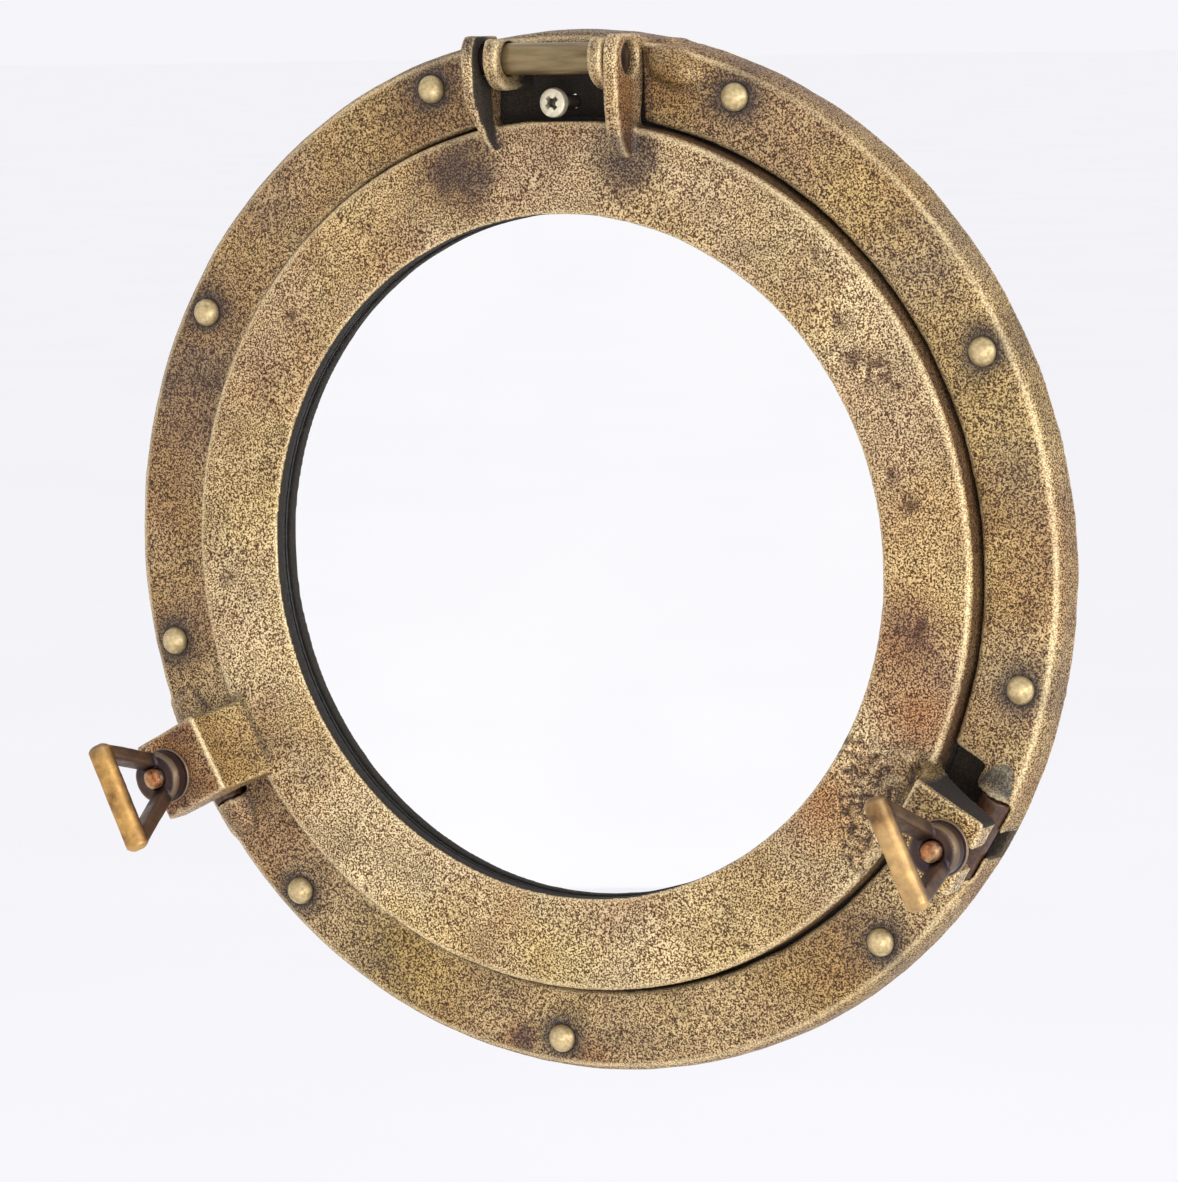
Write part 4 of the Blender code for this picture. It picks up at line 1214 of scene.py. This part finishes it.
def paint_wing_nut(nut, places, out, side, hub_top):
    """A dark hub and arms, a painted highlight on the hub's rim, and a finger bar rubbed bright with one
    tarnished end.
    """
    height, across = places[:, 2], places[:, 0]
    below = rising(-height, -BAR_HEIGHT - 1.2 * MM, 2.2 * MM)
    inner = rising(-np.abs(across - NUT_LEANS[side]), MM - BAR_HALF, MM)
    below = below * strongest(inner, rising(-height, 3 * MM - BAR_HEIGHT, 2 * MM))
    on_arms = rising(height, hub_top + MM, 3 * MM)
    patina = mottled(places, 5, 6, 1.0, 0.12, 0.9, 1) - 0.14 * on_arms
    tarnish = np.clip((across * TARNISHED_ENDS[side] - 9 * MM) / (8 * MM), 0, 0.55)
    paint(nut, "stain_and_shadow", strongest(below * patina, tarnish))
    paint(nut, "grime_and_shade", rising(-out, 0, 0.2 * MM) * 0.7)
    # A painted highlight on the hub's rim.
    hub_rim_highlight = (from_axis(places) > HUB_RADIUS - 1.1 * MM) & (height < hub_top - 0.2 * MM)
    hub_rim_highlight = hub_rim_highlight & (height > hub_top - 2 * MM)
    edges = rising(out, 0.05 * MM, 0.25 * MM) * (0.15 + 0.5 * (1 - below))
    rubbed = BAR_SHINES[side] * (1 - below) * np.clip(1 - 2 * tarnish, 0, 1)
    paint(nut, "wear_and_highlight", strongest(edges, rubbed, 0.22 * hub_rim_highlight))


def make_wing_nut(side):
    """A cast wing nut: hub, two arms and a rounded finger bar, fused into one casting."""
    base = SEAT + WASHER_THICKNESS + 2 * GAP
    hub_top = base + HUB_HEIGHT
    nut = casting(joined(wing_nut_shells(base, hub_top, NUT_LEANS[side])), 0.36 * MM, 7)
    places, normals, edges = vertex_data(nut)
    lumps = 0.10 * MM * noise_at(places, 4 * MM, 2) + 0.05 * MM * noise_at(places, 1.5 * MM, 3)
    moved(nut, places, normals, lumps)
    paint_wing_nut(nut, places, convexity(places, normals, edges, 10), side, hub_top)
    nut.data.transform(dog_place(side) @ turned(NUT_TURNS[side], "Z"))
    finish_piece(nut, f"loop_wing_nut_{side}", f"{side}_nut", BAR_BRASS, "worn_brass", f"wing_nut_{side}")


def dress_hidden_parts():
    """Materials for the CAD nodes whose plain shapes are right."""
    finishes = {"door_seal": (RUBBER, "rubber"), "glass_gasket": (RUBBER, "rubber"),
                "backing_plate": (BOARD, "board")}
    for side in SIDES:
        finishes[f"dog_pin_{side}"] = (PIN_BRASS, "worn_brass")
    for number in range(1, 5):
        finishes[f"retaining_clip_{number}"] = (DARK_BRONZE, "dark_bronze")
        finishes[f"clip_screw_{number}"] = (ZINC, "zinc")
    for name, (finish, slot) in finishes.items():
        node = frame["nodes"][name]
        node.data.materials.clear()
        node.data.materials.append(finish)


# ---- studio

SKY = colour(246, 245, 250)
FLOOR_HEIGHT = -0.45

# Each soft lamp: its name, place, width in metres and power in watts.  The wide one is what the
# mirror faces as seen from the camera, so its brightness is that of white card.
LAMPS = (("key", (1.4, -1.3, 0.2), 0.8, 8), ("white_card", (-0.85, -1.83, -0.5), 2.6, 4.5),
         ("rim", (1.9, -0.3, 0.3), 0.8, 11), ("low_fill", (0.55, -1.6, -0.33), 0.5, 8.5))

# A long lens from the right and a little above, rolled a little, as one holds a camera
CAMERA_PLACE = (0.73611, -1.3667, 0.17091)
CAMERA_RIGHT = Vector((0.88051, 0.47347, -0.02305))
CAMERA_UP = Vector((-0.03505, 0.11354, 0.99292))
FOCAL_LENGTH, SENSOR_WIDTH = 162.73, 36


def make_studio():
    """A pale floor, a bright even sky and soft lamps."""
    floor = loose(block((-30, -30, -0.01), (30, 30, 0)), "studio_floor")
    floor.location.z = FLOOR_HEIGHT
    floor.data.materials.append(pale_floor())
    world = bpy.data.worlds.new("studio_sky")
    world.use_nodes = True
    background = world.node_tree.nodes["Background"]
    background.inputs["Color"].default_value = SKY
    background.inputs["Strength"].default_value = 1.0
    bpy.context.scene.world = world
    for name, place, size, power in LAMPS:
        lamp = bpy.data.lights.new(name, "AREA")
        lamp.size = size
        lamp.energy = power
        obj = bpy.data.objects.new(name, lamp)
        obj.location = place
        obj.rotation_euler = (-Vector(place)).to_track_quat("-Z", "Y").to_euler()
        bpy.context.scene.collection.objects.link(obj)
    bpy.context.scene.view_settings.view_transform = "Standard"


def make_camera():
    """The camera, with its long lens."""
    camera = bpy.data.cameras.new("camera")
    camera.lens = FOCAL_LENGTH
    camera.sensor_width = SENSOR_WIDTH
    obj = bpy.data.objects.new("camera", camera)
    turn = Matrix((CAMERA_RIGHT, CAMERA_UP, CAMERA_RIGHT.cross(CAMERA_UP))).transposed()
    obj.matrix_world = Matrix.Translation(CAMERA_PLACE) @ turn.to_4x4()
    bpy.context.scene.collection.objects.link(obj)
    bpy.context.scene.camera = obj


make_studio()
make_camera()
make_flange()
make_door()
for number, rivet_name in enumerate(RIVETS):
    make_rivet(rivet_name, number)
make_hinge_pin()
make_wall_screw()
make_mirror()
for dog_side in SIDES:
    make_bolt(dog_side)
    make_washer(dog_side)
    make_wing_nut(dog_side)
dress_hidden_parts()
